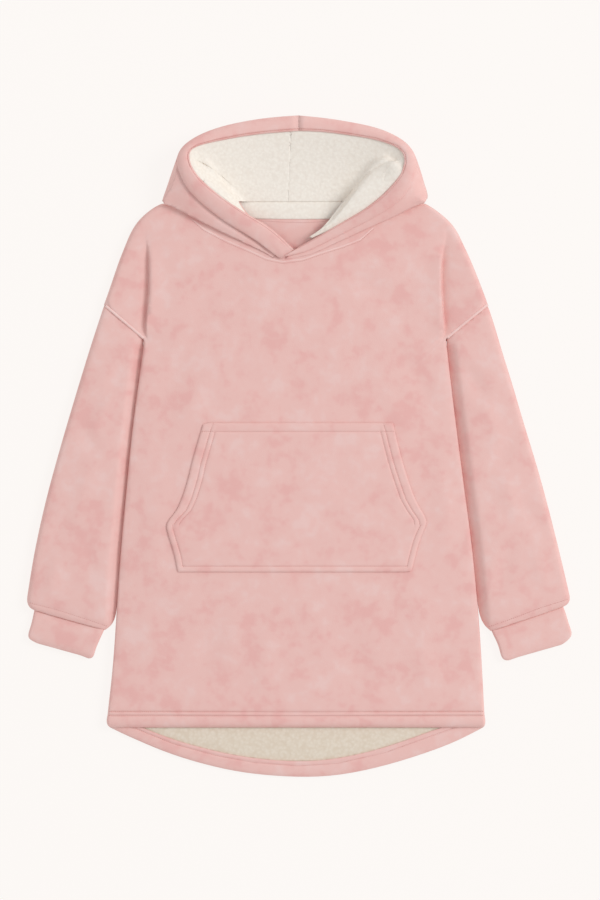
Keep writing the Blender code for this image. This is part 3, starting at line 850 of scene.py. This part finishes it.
class Assembly:
    """Pieces that are made, shaped together and dressed."""

    def build(self, materials: dict[Cloth, bpy.types.Material]) -> None:
        """Make the pieces on their forms, shape them and dress them.

        Args:
            materials: The cloths' materials.
        """
        for piece in self.pieces:
            piece.copy_form()
        self.shape()
        for piece in self.pieces:
            piece.dress(materials)


@dataclass
class Body(Assembly):
    """Front, back, pocket and the tail's inside."""

    side_y: Row = (-464.5, -441, -281, -171, -30, 100, 177, 234, 308, 350, 401)
    side_left: Row = (-311, -315, -301, -294, -280, -265, -255, -255, -255, -255, -227)
    side_right: Row = (305, 307, 298, 288, 269, 252, 243, 243, 243, 243, 210)
    # x, y, angle, length, width and rise of each fold
    folds: Table = (
        (-205, 120, 62, 190, 17, -1.6), (-176, 70, 58, 170, 15, 1.3), (196, 112, 118, 200, 18, -1.7),
        (163, 58, 122, 150, 14, 1.2), (-120, 270, 28, 170, 16, -1.3), (118, 262, 150, 190, 18, -1.4),
        (10, 190, 4, 210, 26, 1.2), (-236, -130, 84, 260, 20, 1.4), (240, -90, 96, 240, 18, 1.5),
        (-150, -330, 74, 190, 24, -1.6), (-55, -350, 86, 150, 20, 1.3), (90, -335, 97, 180, 26, -1.5),
        (205, -345, 105, 200, 20, 1.4), (0, 90, 176, 230, 24, -1.1),
    )
    # the folds fade in over these distances from the sides, above the hem and below the hood
    side_fade: Row = (4.0, 34.0)
    hem_fade: Row = (-432.0, -405.0)
    hood_fade: Row = (34.0, 4.0)
    hood_x: Row = (0, 30, 60, 120, 200, 240)
    hood_y: Row = (285, 292, 300, 325, 360, 380)
    upper_z: float = 12.0
    # y, left and right end of the hem's two lines of stitching
    hem_seams: Table = ((-444.3, -314.0, 306.0), (-437.7, -314.0, 306.0))
    # y, left and right edge of the pocket, along its hand openings and below them
    opening: Table = (
        (39, -155, 155), (24.5, -161, 159), (4, -167, 164), (-27, -176, 172), (-55, -182, 181),
        (-87, -192, 192), (-106, -201, 203), (-121, -215.5, 213.5), (-129, -221, 215),
    )
    lower_side: Table = (
        (-129, -218, 212), (-138, -217, 207), (-154, -212, 200), (-180, -204, 193), (-197.6, -200.9, 188.9)
    )
    opening_seams: Table = ((15.0, 39.0), (23.5, 25.0))  # distance in, and highest y
    lower_seam: float = 10.0
    pocket_rows: tuple[Table, ...] = (((-160, 24.5), (158, 24.5)), ((-190.5, -197.6), (178.5, -197.6)))
    tail_edge: Table = (
        (-311, -464.5), (-290, -475), (-265, -486), (-212, -509), (-138, -530.5), (-75, -542),
        (0, -547), (65, -545), (149, -527), (233, -499), (270, -483), (305, -464.5),
    )
    tail_lip: Table = (
        (-298, -446), (-276, -456), (-253, -467), (-205, -486), (-136, -504.5), (-75, -516),
        (0, -522), (65, -517), (142, -499), (217, -471), (255, -458), (292, -446),
    )
    tail_stitched: float = 0.76
    tail_lap: float = 1.5
    tail_reach: float = 5.0
    # the creases from shoulder to armpit, beside which the front stands up
    crease_y: Row = (177, 184, 197, 215, 234, 258, 283, 308, 332, 350)
    crease_x: Table = (
        (-248, -252, -252, -250.5, -248.8, -246.8, -246.3, -246.8, -249.5, -251.5),
        (237, 241, 241, 239.5, 237.5, 236, 235.2, 236.5, 240, 243),
    )
    crease_low: Row = (178.0, 205.0)
    crease_high: Row = (296.0, 345.0)
    crease_rise: float = 2.6
    crease_roll: float = 17.0
    crease_sink: float = 2.0
    crease_trough: float = 9.0
    crease_reach: float = 60.0
    strip_low: float = 377.0
    strip_high: float = 404.0
    strip_lap: float = 1.7
    strip_fade: Row = (0.5, 6.0)
    strip_seam: StitchLine = StitchLine(((-150.0, 405.0), (150.0, 405.0)), depth=1.2, width=2.5)
    pile: Row = (0.3, 6.0)  # depth and size of the tufts
    pile_seeds: Row = (1.7, 5.3)
    armholes: Pair = (
        (
            (-319.6, 233.4), (-301.1, 217.9), (-286.4, 205.2), (-271.6, 192.7), (-257.6, 180.8),
            (-253.5, 178.6),
        ),
        ((313.5, 235.4), (294.6, 220.3), (278.5, 207.1), (262.5, 193.9), (246.5, 180.6), (243.8, 178.4)),
    )

    def __post_init__(self) -> None:
        """Set out the pieces and their cuts."""
        pink, cream, laid, back = Cloth.FLANNEL, Cloth.SHERPA, Held.LAID, ("body_back",)
        self.front = ClothPiece("body_front", pink, (0.66, 0.90), 0.495, laid, back, grid=9.0)
        self.back = ClothPiece("body_back", pink, (0.66, 0.97), 0.54, laid, grid=14.0)
        self.pocket = ClothPiece("pocket", pink, (0.45, 0.27), 0.094, laid, ("body_front",), grid=9.0)
        self.tail_hem = ClothPiece("tail_hem", pink, (0.66, 0.045), 0.0185, Held.FOLDED, back)
        # The tail's lining takes the sherpa copy that is darkened as painted shade under the hem.
        self.tail_lining = ClothPiece(
            "tail_lining", Cloth.SHERPA_IN_PAINTED_SHADE, (0.62, 0.09), 0.032, laid, back, grid=2.5
        )
        self.facing = ClothPiece("neck_facing", pink, (0.21, 0.05), 0.0062, laid, back, grid=9.0)
        self.strip = ClothPiece("neck_strip", cream, (0.28, 0.03), 0.0072, laid, back, grid=2.5)
        self.pieces = [
            self.back, self.front, self.pocket, self.tail_hem, self.tail_lining, self.facing, self.strip
        ]

    @property
    def hem_lines(self) -> list[StitchLine]:
        """Return the front hem's two lines."""
        return [StitchLine(((left, y), (right, y)), depth=0.9) for y, left, right in self.hem_seams]

    @property
    def pocket_lines(self) -> list[StitchLine]:
        """Set out the pocket's lines.

        Returns:
            The lines, doubled along the openings and single along the rest.
        """
        paths = list(self.pocket_rows)
        seams = [(self.opening, *seam) for seam in self.opening_seams]
        for rows, inward, top in [*seams, (self.lower_side, self.lower_seam, 0.0)]:
            for column, side in enumerate(Side, 1):
                path = ((row[column] + side.inward * inward, row[0]) for row in rows if row[0] <= top)
                paths.append(tuple(path))
        return [StitchLine(path) for path in paths]

    @property
    def tail_lines(self) -> list[StitchLine]:
        """Return the line that holds the tail's turned-in hem."""
        return [StitchLine(between(self.tail_edge, self.tail_lip, self.tail_stitched))]

    def middle(self, points: np.ndarray) -> np.ndarray:
        """Find how far the folds reach: none at the seams, hem, sides and under the hood.

        Args:
            points: N by 2 or more columns.

        Returns:
            Each point's share of the folds, 0 to 1.
        """
        x, y = points[:, 0], points[:, 1]
        left, right = (np.interp(y, self.side_y, side) for side in (self.side_left, self.side_right))
        side = smooth_step(np.minimum(x - left, right - x), *self.side_fade)
        hood = np.interp(np.abs(x), self.hood_x, self.hood_y)
        first, last = (hood - fade for fade in self.hood_fade)
        return side * smooth_step(y, *self.hem_fade) * (1.0 - smooth_step(y, first, last))

    def drape_creases(self) -> None:
        """Let the front stand up beside the two shoulder creases and sink within them."""
        points = self.front.points()
        x, y = points[:, 0], points[:, 1]
        along = smooth_step(y, *self.crease_low) * (1.0 - smooth_step(y, *self.crease_high))
        along *= self.front.upper()
        for side in Side:
            inside = side.inward * (x - np.interp(y, self.crease_y, side.pick(self.crease_x)))
            near = np.abs(inside) < self.crease_reach
            roll = self.crease_rise * np.exp(-((inside / self.crease_roll) ** 2)) * (inside > 0.0)
            sink = self.crease_sink * np.exp(-((inside / self.crease_trough) ** 2)) * (inside <= 0.0)
            points[:, 2] += along * near * (roll - sink)
        self.front.set_points(points)

    def tuck_tail(self) -> None:
        """Bring the tail's pile up to its turned-in hem, so that no gap shows."""
        points = self.tail_lining.points()
        gap = PlanPath(self.tail_lip).read(points)[0]
        points[:, 1] -= self.tail_lap * np.exp(-((gap / self.tail_reach) ** 2))
        self.tail_lining.set_points(points)

    def seat_strip(self) -> None:
        """Bring the strip's long edges up to the lining and the facing, and press its upper seam."""
        points = self.strip.points()
        near, far = self.strip_fade
        low, high = self.strip_low, self.strip_high
        points[:, 1] += self.strip_lap * smooth_step(points[:, 1], high - far, high - near)
        points[:, 1] -= self.strip_lap * (1.0 - smooth_step(points[:, 1], low + near, low + far))
        self.strip.set_points(points)
        self.strip.press(self.strip_seam)

    def shape(self) -> None:
        """Lay the body's folds and creases, press its lines and raise its pile."""
        folds = FoldField(self.folds, uneven=0.9, wave=46.0, seed=3.1)
        self.drape_creases()
        self.seat_strip()
        self.front.lift(folds, lambda p: self.middle(p) * (p[:, 2] > self.upper_z))
        self.pocket.lift(folds, self.middle)
        self.front.press(*self.hem_lines)
        self.pocket.press(*self.pocket_lines)
        self.tail_hem.press(*self.tail_lines)
        self.tuck_tail()
        for piece, seed in zip((self.tail_lining, self.strip), self.pile_seeds):
            piece.fluff(*self.pile, seed)


@dataclass
class Sleeve(Assembly):
    """One sleeve with its cuff; pairs hold the left and the right one's sizes."""

    side: Side
    body: Body
    folds: Pair = (
        (
            (-300, 110, 62, 120, 13, -2.2), (-322, 60, 66, 130, 12, 1.8), (-345, 10, 118, 90, 12, -1.7),
            (-352, -70, 70, 150, 15, 1.6), (-392, -130, 60, 120, 13, -1.6),
            (-345, -190, 104, 110, 14, -1.6), (-405, -215, 76, 90, 12, 1.6),
        ),
        (
            (292, 104, 118, 130, 13, -2.2), (316, 48, 112, 120, 12, 1.8), (342, -5, 64, 100, 13, -1.8),
            (350, -84, 110, 150, 14, 1.6), (388, -120, 122, 130, 14, -1.6),
            (340, -200, 78, 110, 13, -1.7), (400, -205, 104, 90, 12, 1.6),
        ),
    )
    # the folds fade in above the end, below the armhole and over the upper layer's rim
    end_fade: Row = (-262.0, -235.0)
    armhole_fade: Row = (120.0, 165.0)
    layer_fade: Row = (10.6, 17.0)
    tuck_fade: Row = (157.0, 177.0)
    tuck_reach: float = 19.0
    tuck_in: float = 1.4
    tuck_down: float = 0.48
    seam_reach: float = 7.0
    seam_in: float = 1.2
    cuff_top: float = 9.0
    cuff_in: float = 1.7
    cuff_corners: Pair = (
        ((-441, -310, -3.5, -3.0, 0.0, 11.0), (-344, -347, 2.5, -3.0, 0.0, 11.0)),
        ((444, -306, 4.0, -3.0, 0.0, 11.0), (343, -347, -2.5, -3.0, 0.0, 11.0)),
    )
    ends: Pair = (
        ((-444, -258), (-400, -269), (-350, -285), (-316, -297)),
        ((445, -252), (400, -266), (350, -285), (314, -298)),
    )

    def __post_init__(self) -> None:
        """Set out the two pieces and their cuts."""
        side, upper, pink = self.side.value, "sleeve_" + self.side.value, Cloth.FLANNEL
        self.sleeve = ClothPiece(upper, pink, (0.28, 0.50), 0.118, Held.LAID, grid=9.0)
        self.cuff = ClothPiece("cuff_" + side, pink, (0.26, 0.062), 0.0133, Held.FOLDED, (upper,))
        self.pieces = [self.sleeve, self.cuff]

    @property
    def end_line(self) -> StitchLine:
        """Return the line above the cuff's seam."""
        return StitchLine(self.side.pick(self.ends), width=1.6)

    @property
    def armhole(self) -> Table:
        """Return the armhole's seam."""
        return self.side.pick(self.body.armholes)

    def reach(self, points: np.ndarray) -> np.ndarray:
        """Find how far the folds reach: the upper layer, away from the armhole and the end.

        Args:
            points: N by 3 columns.

        Returns:
            Each point's share of the folds, 0 to 1.
        """
        ends = smooth_step(points[:, 1], *self.end_fade)
        ends *= 1.0 - smooth_step(points[:, 1], *self.armhole_fade)
        return ends * smooth_step(points[:, 2], *self.layer_fade)

    def tuck(self) -> None:
        """Roll the inner edge down against the body's side and close the armhole seam."""
        points = self.sleeve.points()
        inward, body = self.side.inward, self.body
        edge = np.interp(points[:, 1], body.side_y, self.side.pick((body.side_left, body.side_right)))
        near = 1.0 - smooth_step(inward * (edge - points[:, 0]), 0.0, self.tuck_reach)
        near *= 1.0 - smooth_step(points[:, 1], *self.tuck_fade)
        points[:, 0] += inward * self.tuck_in * near
        points[:, 2] *= 1.0 - self.tuck_down * near
        self.sleeve.set_points(points)
        self.sleeve.draw_up(self.armhole, self.side, 0.0, self.seam_reach, self.seam_in)

    def shape(self) -> None:
        """Lay the sleeve's folds, tuck it in and fit the cuff to it."""
        folds = FoldField(self.side.pick(self.folds), uneven=1.0, wave=42.0, seed=7.7)
        self.sleeve.lift(folds, self.reach)
        self.tuck()
        self.sleeve.press(self.end_line)
        self.cuff.draw_up(self.end_line.path, self.side, self.cuff_top, self.seam_reach, self.cuff_in)
        self.cuff.nudge(self.side.pick(self.cuff_corners))


@dataclass
class Hood(Assembly):
    """The hood's panels, face band and lining; pairs hold the left and the right half's sizes."""

    band_stitched: float = 0.13
    # outer and inner edge of each face band, where it is stitched
    band_edges: Pair = (
        (
            (-199, 458, -175, 458), (-201, 473, -180, 473), (-195, 489, -179, 486), (-177, 506, -164, 495),
            (-138, 524, -133, 502), (-92.5, 534.5, -88, 511), (-47, 541.5, -44, 516),
            (-0.2, 544.5, -0.2, 519),
        ),
        (
            (189, 436, 169, 449), (196, 466, 174, 466), (190, 485, 173, 481), (174, 504, 161, 493),
            (135, 523.5, 126, 505), (92.5, 532.5, 83, 512), (45, 540.5, 39, 518), (0.2, 544.5, 0.2, 519),
        ),
    )
    # the groove beside the left band
    groove: StitchLine = StitchLine(
        (
            (-39, 315), (-65, 337), (-93, 354), (-122, 371), (-150, 392), (-175, 414), (-190, 435),
            (-199, 458), (-201, 473),
        ),
        depth=2.6, width=4.0,
    )
    # x, y and rise of each pad's edge, with the pad on its left
    pads: Pair = (
        (
            (-97, 397, 1), (-105, 410, 4), (-116, 427, 6), (-128, 444, 6), (-142, 466, 6),
            (-151, 474, 5), (-165, 468, 3), (-171, 458, 1),
        ),
        (
            (169.5, 458.5, 3), (159.5, 470.5, 8), (142.5, 479, 13), (125.5, 473.5, 14), (112, 460, 13),
            (99, 440, 9), (78.5, 406.5, 3), (61.5, 379.5, 1), (36.5, 346, 0),
        ),
    )
    pad_reach: Row = (7.0, 7.5)
    # x, y and height of the floor of the ditch beside the left pad
    ditch: Table = (
        (-170, 474, 44), (-165, 469, 42), (-155, 463, 37.5), (-147, 457, 33), (-137, 451, 29),
        (-130, 445, 25.5), (-120, 439, 22), (-114, 433, 20), (-110, 427, 18), (-103, 421, 15),
        (-97, 415, 14), (-90, 409, 13.5), (-84, 403, 13),
    )
    ditch_reach: float = 9.0
    ditch_blend: float = 2.0
    even: Row = (11.0, 3.6, 4.8)  # reach, spread and depth
    seam_shift: Table = ((402.0, 519.0), (-17.3, -12.4))  # y, and how far the seam moves there
    seam_spread: float = 60.0
    seam_depth: float = 0.3
    seam_width: float = 3.2
    # x, y, way along x, y and z, and reach of what is drawn aside on panels and bands
    panel_nudges: Pair = (
        ((-226, 405, -0.5, -5.0, 0.0, 14.0), (-227.5, 402.5, 2.9, 2.6, 0.0, 6.0)),
        ((214, 408, 0.5, -6.5, 0.0, 14.0), (215.5, 401.5, -4.5, 3.5, 0.0, 6.0)),
    )
    band_nudges: Pair = (
        (
            (-38.5, 315, 7.5, -4.0, -2.0, 11.0), (-18.5, 322.5, 2.0, -3.4, 0.0, 9.0),
            (-26, 315.5, 2.4, -2.6, -0.6, 6.0),
        ),
        ((-19, 314, -8.0, -1.5, 0.0, 11.0),),
    )
    # x, y and greatest height of the left band's end
    crossing: Table = ((-36, 308, 22.5), (-30, 311.5, 24.0), (-24, 316, 26.0), (-7, 326.5, 26.6))
    crossing_taper: float = 17.0
    soft_reach: Row = (13.0, 26.0)
    soft_rounds: int = 30
    soft_share: float = 0.5
    pile: Row = (0.35, 6.5)  # depth and size of the tufts
    pile_seeds: Row = (2.2, 8.9)

    def __post_init__(self) -> None:
        """Set out both halves' pieces and their cuts."""
        self.panels, self.bands, self.linings = [], [], []
        pink, cream, folded, laid = Cloth.FLANNEL, Cloth.SHERPA, Held.FOLDED, Held.LAID
        for side in (s.value for s in Side):
            name, band, lining = (head + side for head in ("hood_", "hood_band_", "hood_lining_"))
            panel = ClothPiece(name, pink, (0.30, 0.26), 0.045, folded, ("body_front",), grid=7.0)
            self.panels.append(panel)
            self.bands.append(ClothPiece(band, pink, (0.045, 0.36), 0.0123, folded, (name,)))
            self.linings.append(ClothPiece(lining, cream, (0.25, 0.20), 0.0265, laid, (name,), levels=4))
        self.pieces = self.panels + self.bands + self.linings

    @property
    def band_lines(self) -> list[StitchLine]:
        """Set out each face band's line, near its inner edge.

        Returns:
            The left and the right line.
        """
        edges = [np.array(rows) for rows in self.band_edges]
        paths = [between(e[:, 2:], e[:, :2], self.band_stitched) for e in edges]
        return [StitchLine(path, depth=0.9, width=1.1) for path in paths]

    def cross_bands(self) -> None:
        """Thin the left band's end down to the right band, which lies against it."""
        points = self.bands[0].points()
        gap, _, level = PlanPath(self.crossing).read(points)
        near = 1.0 - smooth_step(gap, 0.0, self.crossing_taper)
        points[:, 2] -= near * np.maximum(0.0, points[:, 2] - level)
        self.bands[0].set_points(points)

    def fill_ditch(self, lining: ClothPiece, top: np.ndarray) -> None:
        """Fill the sharp ditch beside the left pad, so that the pile rounds over it.

        Args:
            lining: The lining.
            top: 1 for each point of its pile side.
        """
        points = lining.points()
        gap, _, floor = PlanPath(self.ditch).read(points)
        blend = self.ditch_blend
        full = floor + blend * np.logaddexp(0.0, (points[:, 2] - floor) / blend)
        near = np.exp(-((gap / self.ditch_reach) ** 4)) * top
        points[:, 2] += near * (full - points[:, 2])
        lining.set_points(points)
        lining.soften(self.soft_share * near, self.soft_rounds, (0, 1, 2))
        lining.even_out(self.ditch, *self.even)

    def raise_pad(self, lining: ClothPiece, top: np.ndarray, rows: Table, reach: float) -> None:
        """Raise the lining's fold to a soft pad.

        Args:
            lining: The lining.
            top: 1 for each point of its pile side.
            rows: The pad's edge.
            reach: Distance from the edge to the pad's highest line.
        """
        points = lining.points()
        gap, inner, rise = PlanPath(rows).read(points)
        share = gap / reach
        points[:, 2] += inner * rise * share * np.exp(1.0 - share) * top
        lining.set_points(points)
        near = 1.0 - smooth_step(gap, *self.soft_reach)
        lining.soften(self.soft_share * top * near, self.soft_rounds)

    def shift_seam(self, lining: ClothPiece) -> None:
        """Press the lining's middle seam and let it lie a little to the left.

        Args:
            lining: The lining.
        """
        points = lining.points()
        x = points[:, 0]
        points[:, 2] -= self.seam_depth * np.exp(-((x / self.seam_width) ** 2)) * lining.upper()
        shift = np.interp(points[:, 1], *self.seam_shift)
        points[:, 0] += shift * np.exp(-((x / self.seam_spread) ** 2))
        lining.set_points(points)

    def shape(self) -> None:
        """Close the hood's seams, cross its bands, raise the lining's pads and curl its pile."""
        for piece in self.pieces:
            piece.lap_middle()
        for band, line in zip(self.bands, self.band_lines):
            band.press(line)
        for piece, rows in zip(self.panels + self.bands, self.panel_nudges + self.band_nudges):
            piece.nudge(rows)
        self.cross_bands()
        self.panels[0].press(self.groove)
        tops = [lining.top() for lining in self.linings]
        self.fill_ditch(self.linings[0], tops[0])
        for k, (lining, top) in enumerate(zip(self.linings, tops)):
            self.raise_pad(lining, top, self.pads[k], self.pad_reach[k])
            self.shift_seam(lining)
            lining.fluff(*self.pile, self.pile_seeds[k])


@dataclass
class Sewing:
    """All the stitching and the turned seams that lie on the outside."""

    thread: bpy.types.Material
    # paler flannel of the seam ridges: a painted highlight
    seam_highlight_flannel: bpy.types.Material
    neck_seam: Table = (
        (-175.5, 376), (-157, 359.5), (-120, 340), (-80, 323), (-53, 310.5), (-26, 305), (8, 309.5),
        (35, 319), (75, 331.5), (102, 342), (125.5, 363),
    )
    neck_below: float = 3.2  # from the seam to its stitching
    neck_roll: Row = (1.2, 0.55)  # half width and height
    facing_path: Table = ((-66, 372.8), (-30, 370.8), (7, 369.8), (32, 370.8), (54, 372.8))

    def build(self, body: Body, sleeves: list[Sleeve], hood: Hood) -> None:
        """Lay every row of stitching and every turned seam on the cloth.

        Args:
            body: The body.
            sleeves: The two sleeves.
            hood: The hood.
        """
        below = StitchLine(tuple((x, y - self.neck_below) for x, y in self.neck_seam))
        left, right = hood.band_lines
        rows = [
            ("hem_stitching", body.hem_lines, body.front),
            ("neck_stitching", [below], body.front),
            ("facing_stitching", [StitchLine(self.facing_path)], body.facing),
            ("pocket_stitching", body.pocket_lines, body.pocket),
            ("tail_stitching", body.tail_lines, body.tail_hem),
            ("band_stitching_left", [left], hood.bands[0]),
            ("band_stitching_right", [right], hood.bands[1]),
        ]
        rows += [(f"sleeve_stitching_{s.side.value}", [s.end_line], s.sleeve) for s in sleeves]
        for name, lines, cloth in rows:
            StitchRow(name).build(lines, cloth, self.thread)
        # The seam ridges wear the paler flannel copy, a painted highlight along them.
        SeamRoll("neck_seam", *self.neck_roll).build(self.neck_seam, [body.front], self.seam_highlight_flannel)
        for sleeve in sleeves:
            roll = SeamRoll(f"armhole_seam_{sleeve.side.value}")
            roll.build(sleeve.armhole, [body.front, sleeve.sleeve], self.seam_highlight_flannel)


@dataclass
class Studio:
    """Backdrop, light and camera."""

    camera_centre: Row = (2.5, -5.8, 20.0)
    camera_lens: float = 200.0
    sensor: float = 36.0
    frame_height: float = 1485.0
    clip_end_m: float = 100.0
    floor_half_m: float = 9.0
    world: float = 0.705
    key_place_m: Row = (6.6, 2.6, 6.6)
    key_size_m: float = 4.0
    key_power: float = 367.0

    def build(self) -> None:
        """Set up everything that isn't the garment."""
        self.floor()
        self.light()
        self.camera()
        bpy.context.scene.view_settings.view_transform = "Standard"

    def floor(self) -> None:
        """Lay the backdrop under the garment."""
        bpy.ops.object.select_all(action="DESELECT")
        bpy.ops.mesh.primitive_plane_add(size=2.0 * self.floor_half_m, location=(0, 0, 0))
        item = bpy.context.view_layer.objects.active
        item.name = item.data.name = "backdrop"
        item.data.materials.append(BackdropPaper().material())
        item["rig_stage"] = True

    def light(self) -> None:
        """Light the garment from all round, and a little more from past the hood."""
        world = bpy.data.worlds.new("studio")
        bpy.context.scene.world = world
        world.use_nodes = True
        back = world.node_tree.nodes["Background"]
        back.inputs["Color"].default_value = linear("#FFFFFF")
        back.inputs["Strength"].default_value = self.world
        lamp = bpy.data.lights.new("key", "AREA")
        lamp.size, lamp.energy = self.key_size_m, self.key_power
        key = bpy.data.objects.new("key", lamp)
        bpy.context.collection.objects.link(key)
        place = Vector(self.key_place_m)
        aim = (-place).to_track_quat("-Z", "Y").to_matrix().to_4x4()
        key.matrix_world = Matrix.Translation(place) @ aim

    def camera(self) -> None:
        """Look straight down on the garment."""
        camera = bpy.data.cameras.new("camera")
        camera.lens, camera.sensor_width, camera.clip_end = self.camera_lens, self.sensor, self.clip_end_m
        item = bpy.data.objects.new("camera", camera)
        bpy.context.collection.objects.link(item)
        away = Vector((0.0, 0.0, self.frame_height * self.camera_lens / self.sensor))
        item.location = (Vector(self.camera_centre) + away) * MM
        bpy.context.scene.camera = item


def main() -> None:
    """Build and dress the garment, then the studio."""
    logging.basicConfig(level=logging.INFO, format="%(message)s")
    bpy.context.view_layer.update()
    # A darker, warmer copy of the sherpa for the tail's lining: painted shade under the front hem.
    shade_painted_sherpa = Sherpa("cream sherpa, knitted pile worn flat", "#E6DBCC", "#DDCFBD", bump=0.12)
    # A paler copy of the flannel for the turned seam ridges: painted highlight where they catch the light.
    seam_highlight_flannel = PlushFlannel(
        "pink plush flannel, turned and pressed at the seams", "#EEC6C1", "#F1CEC9", "#F3D4CF"
    )
    finishes = {Cloth.FLANNEL: PlushFlannel(), Cloth.SHERPA: Sherpa(), Cloth.SHERPA_IN_PAINTED_SHADE: shade_painted_sherpa}
    materials = {cloth: finish.material() for cloth, finish in finishes.items()}
    body, hood = Body(), Hood()
    sleeves = [Sleeve(side, body) for side in Side]
    for assembly in (body, *sleeves, hood):
        assembly.build(materials)
    Sewing(SewingThread().material(), seam_highlight_flannel.material()).build(body, sleeves, hood)
    Studio().build()
    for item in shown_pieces():
        logger.info("%s: %d faces", item.name, len(item.data.polygons))


if __name__ == "__main__":
    main()
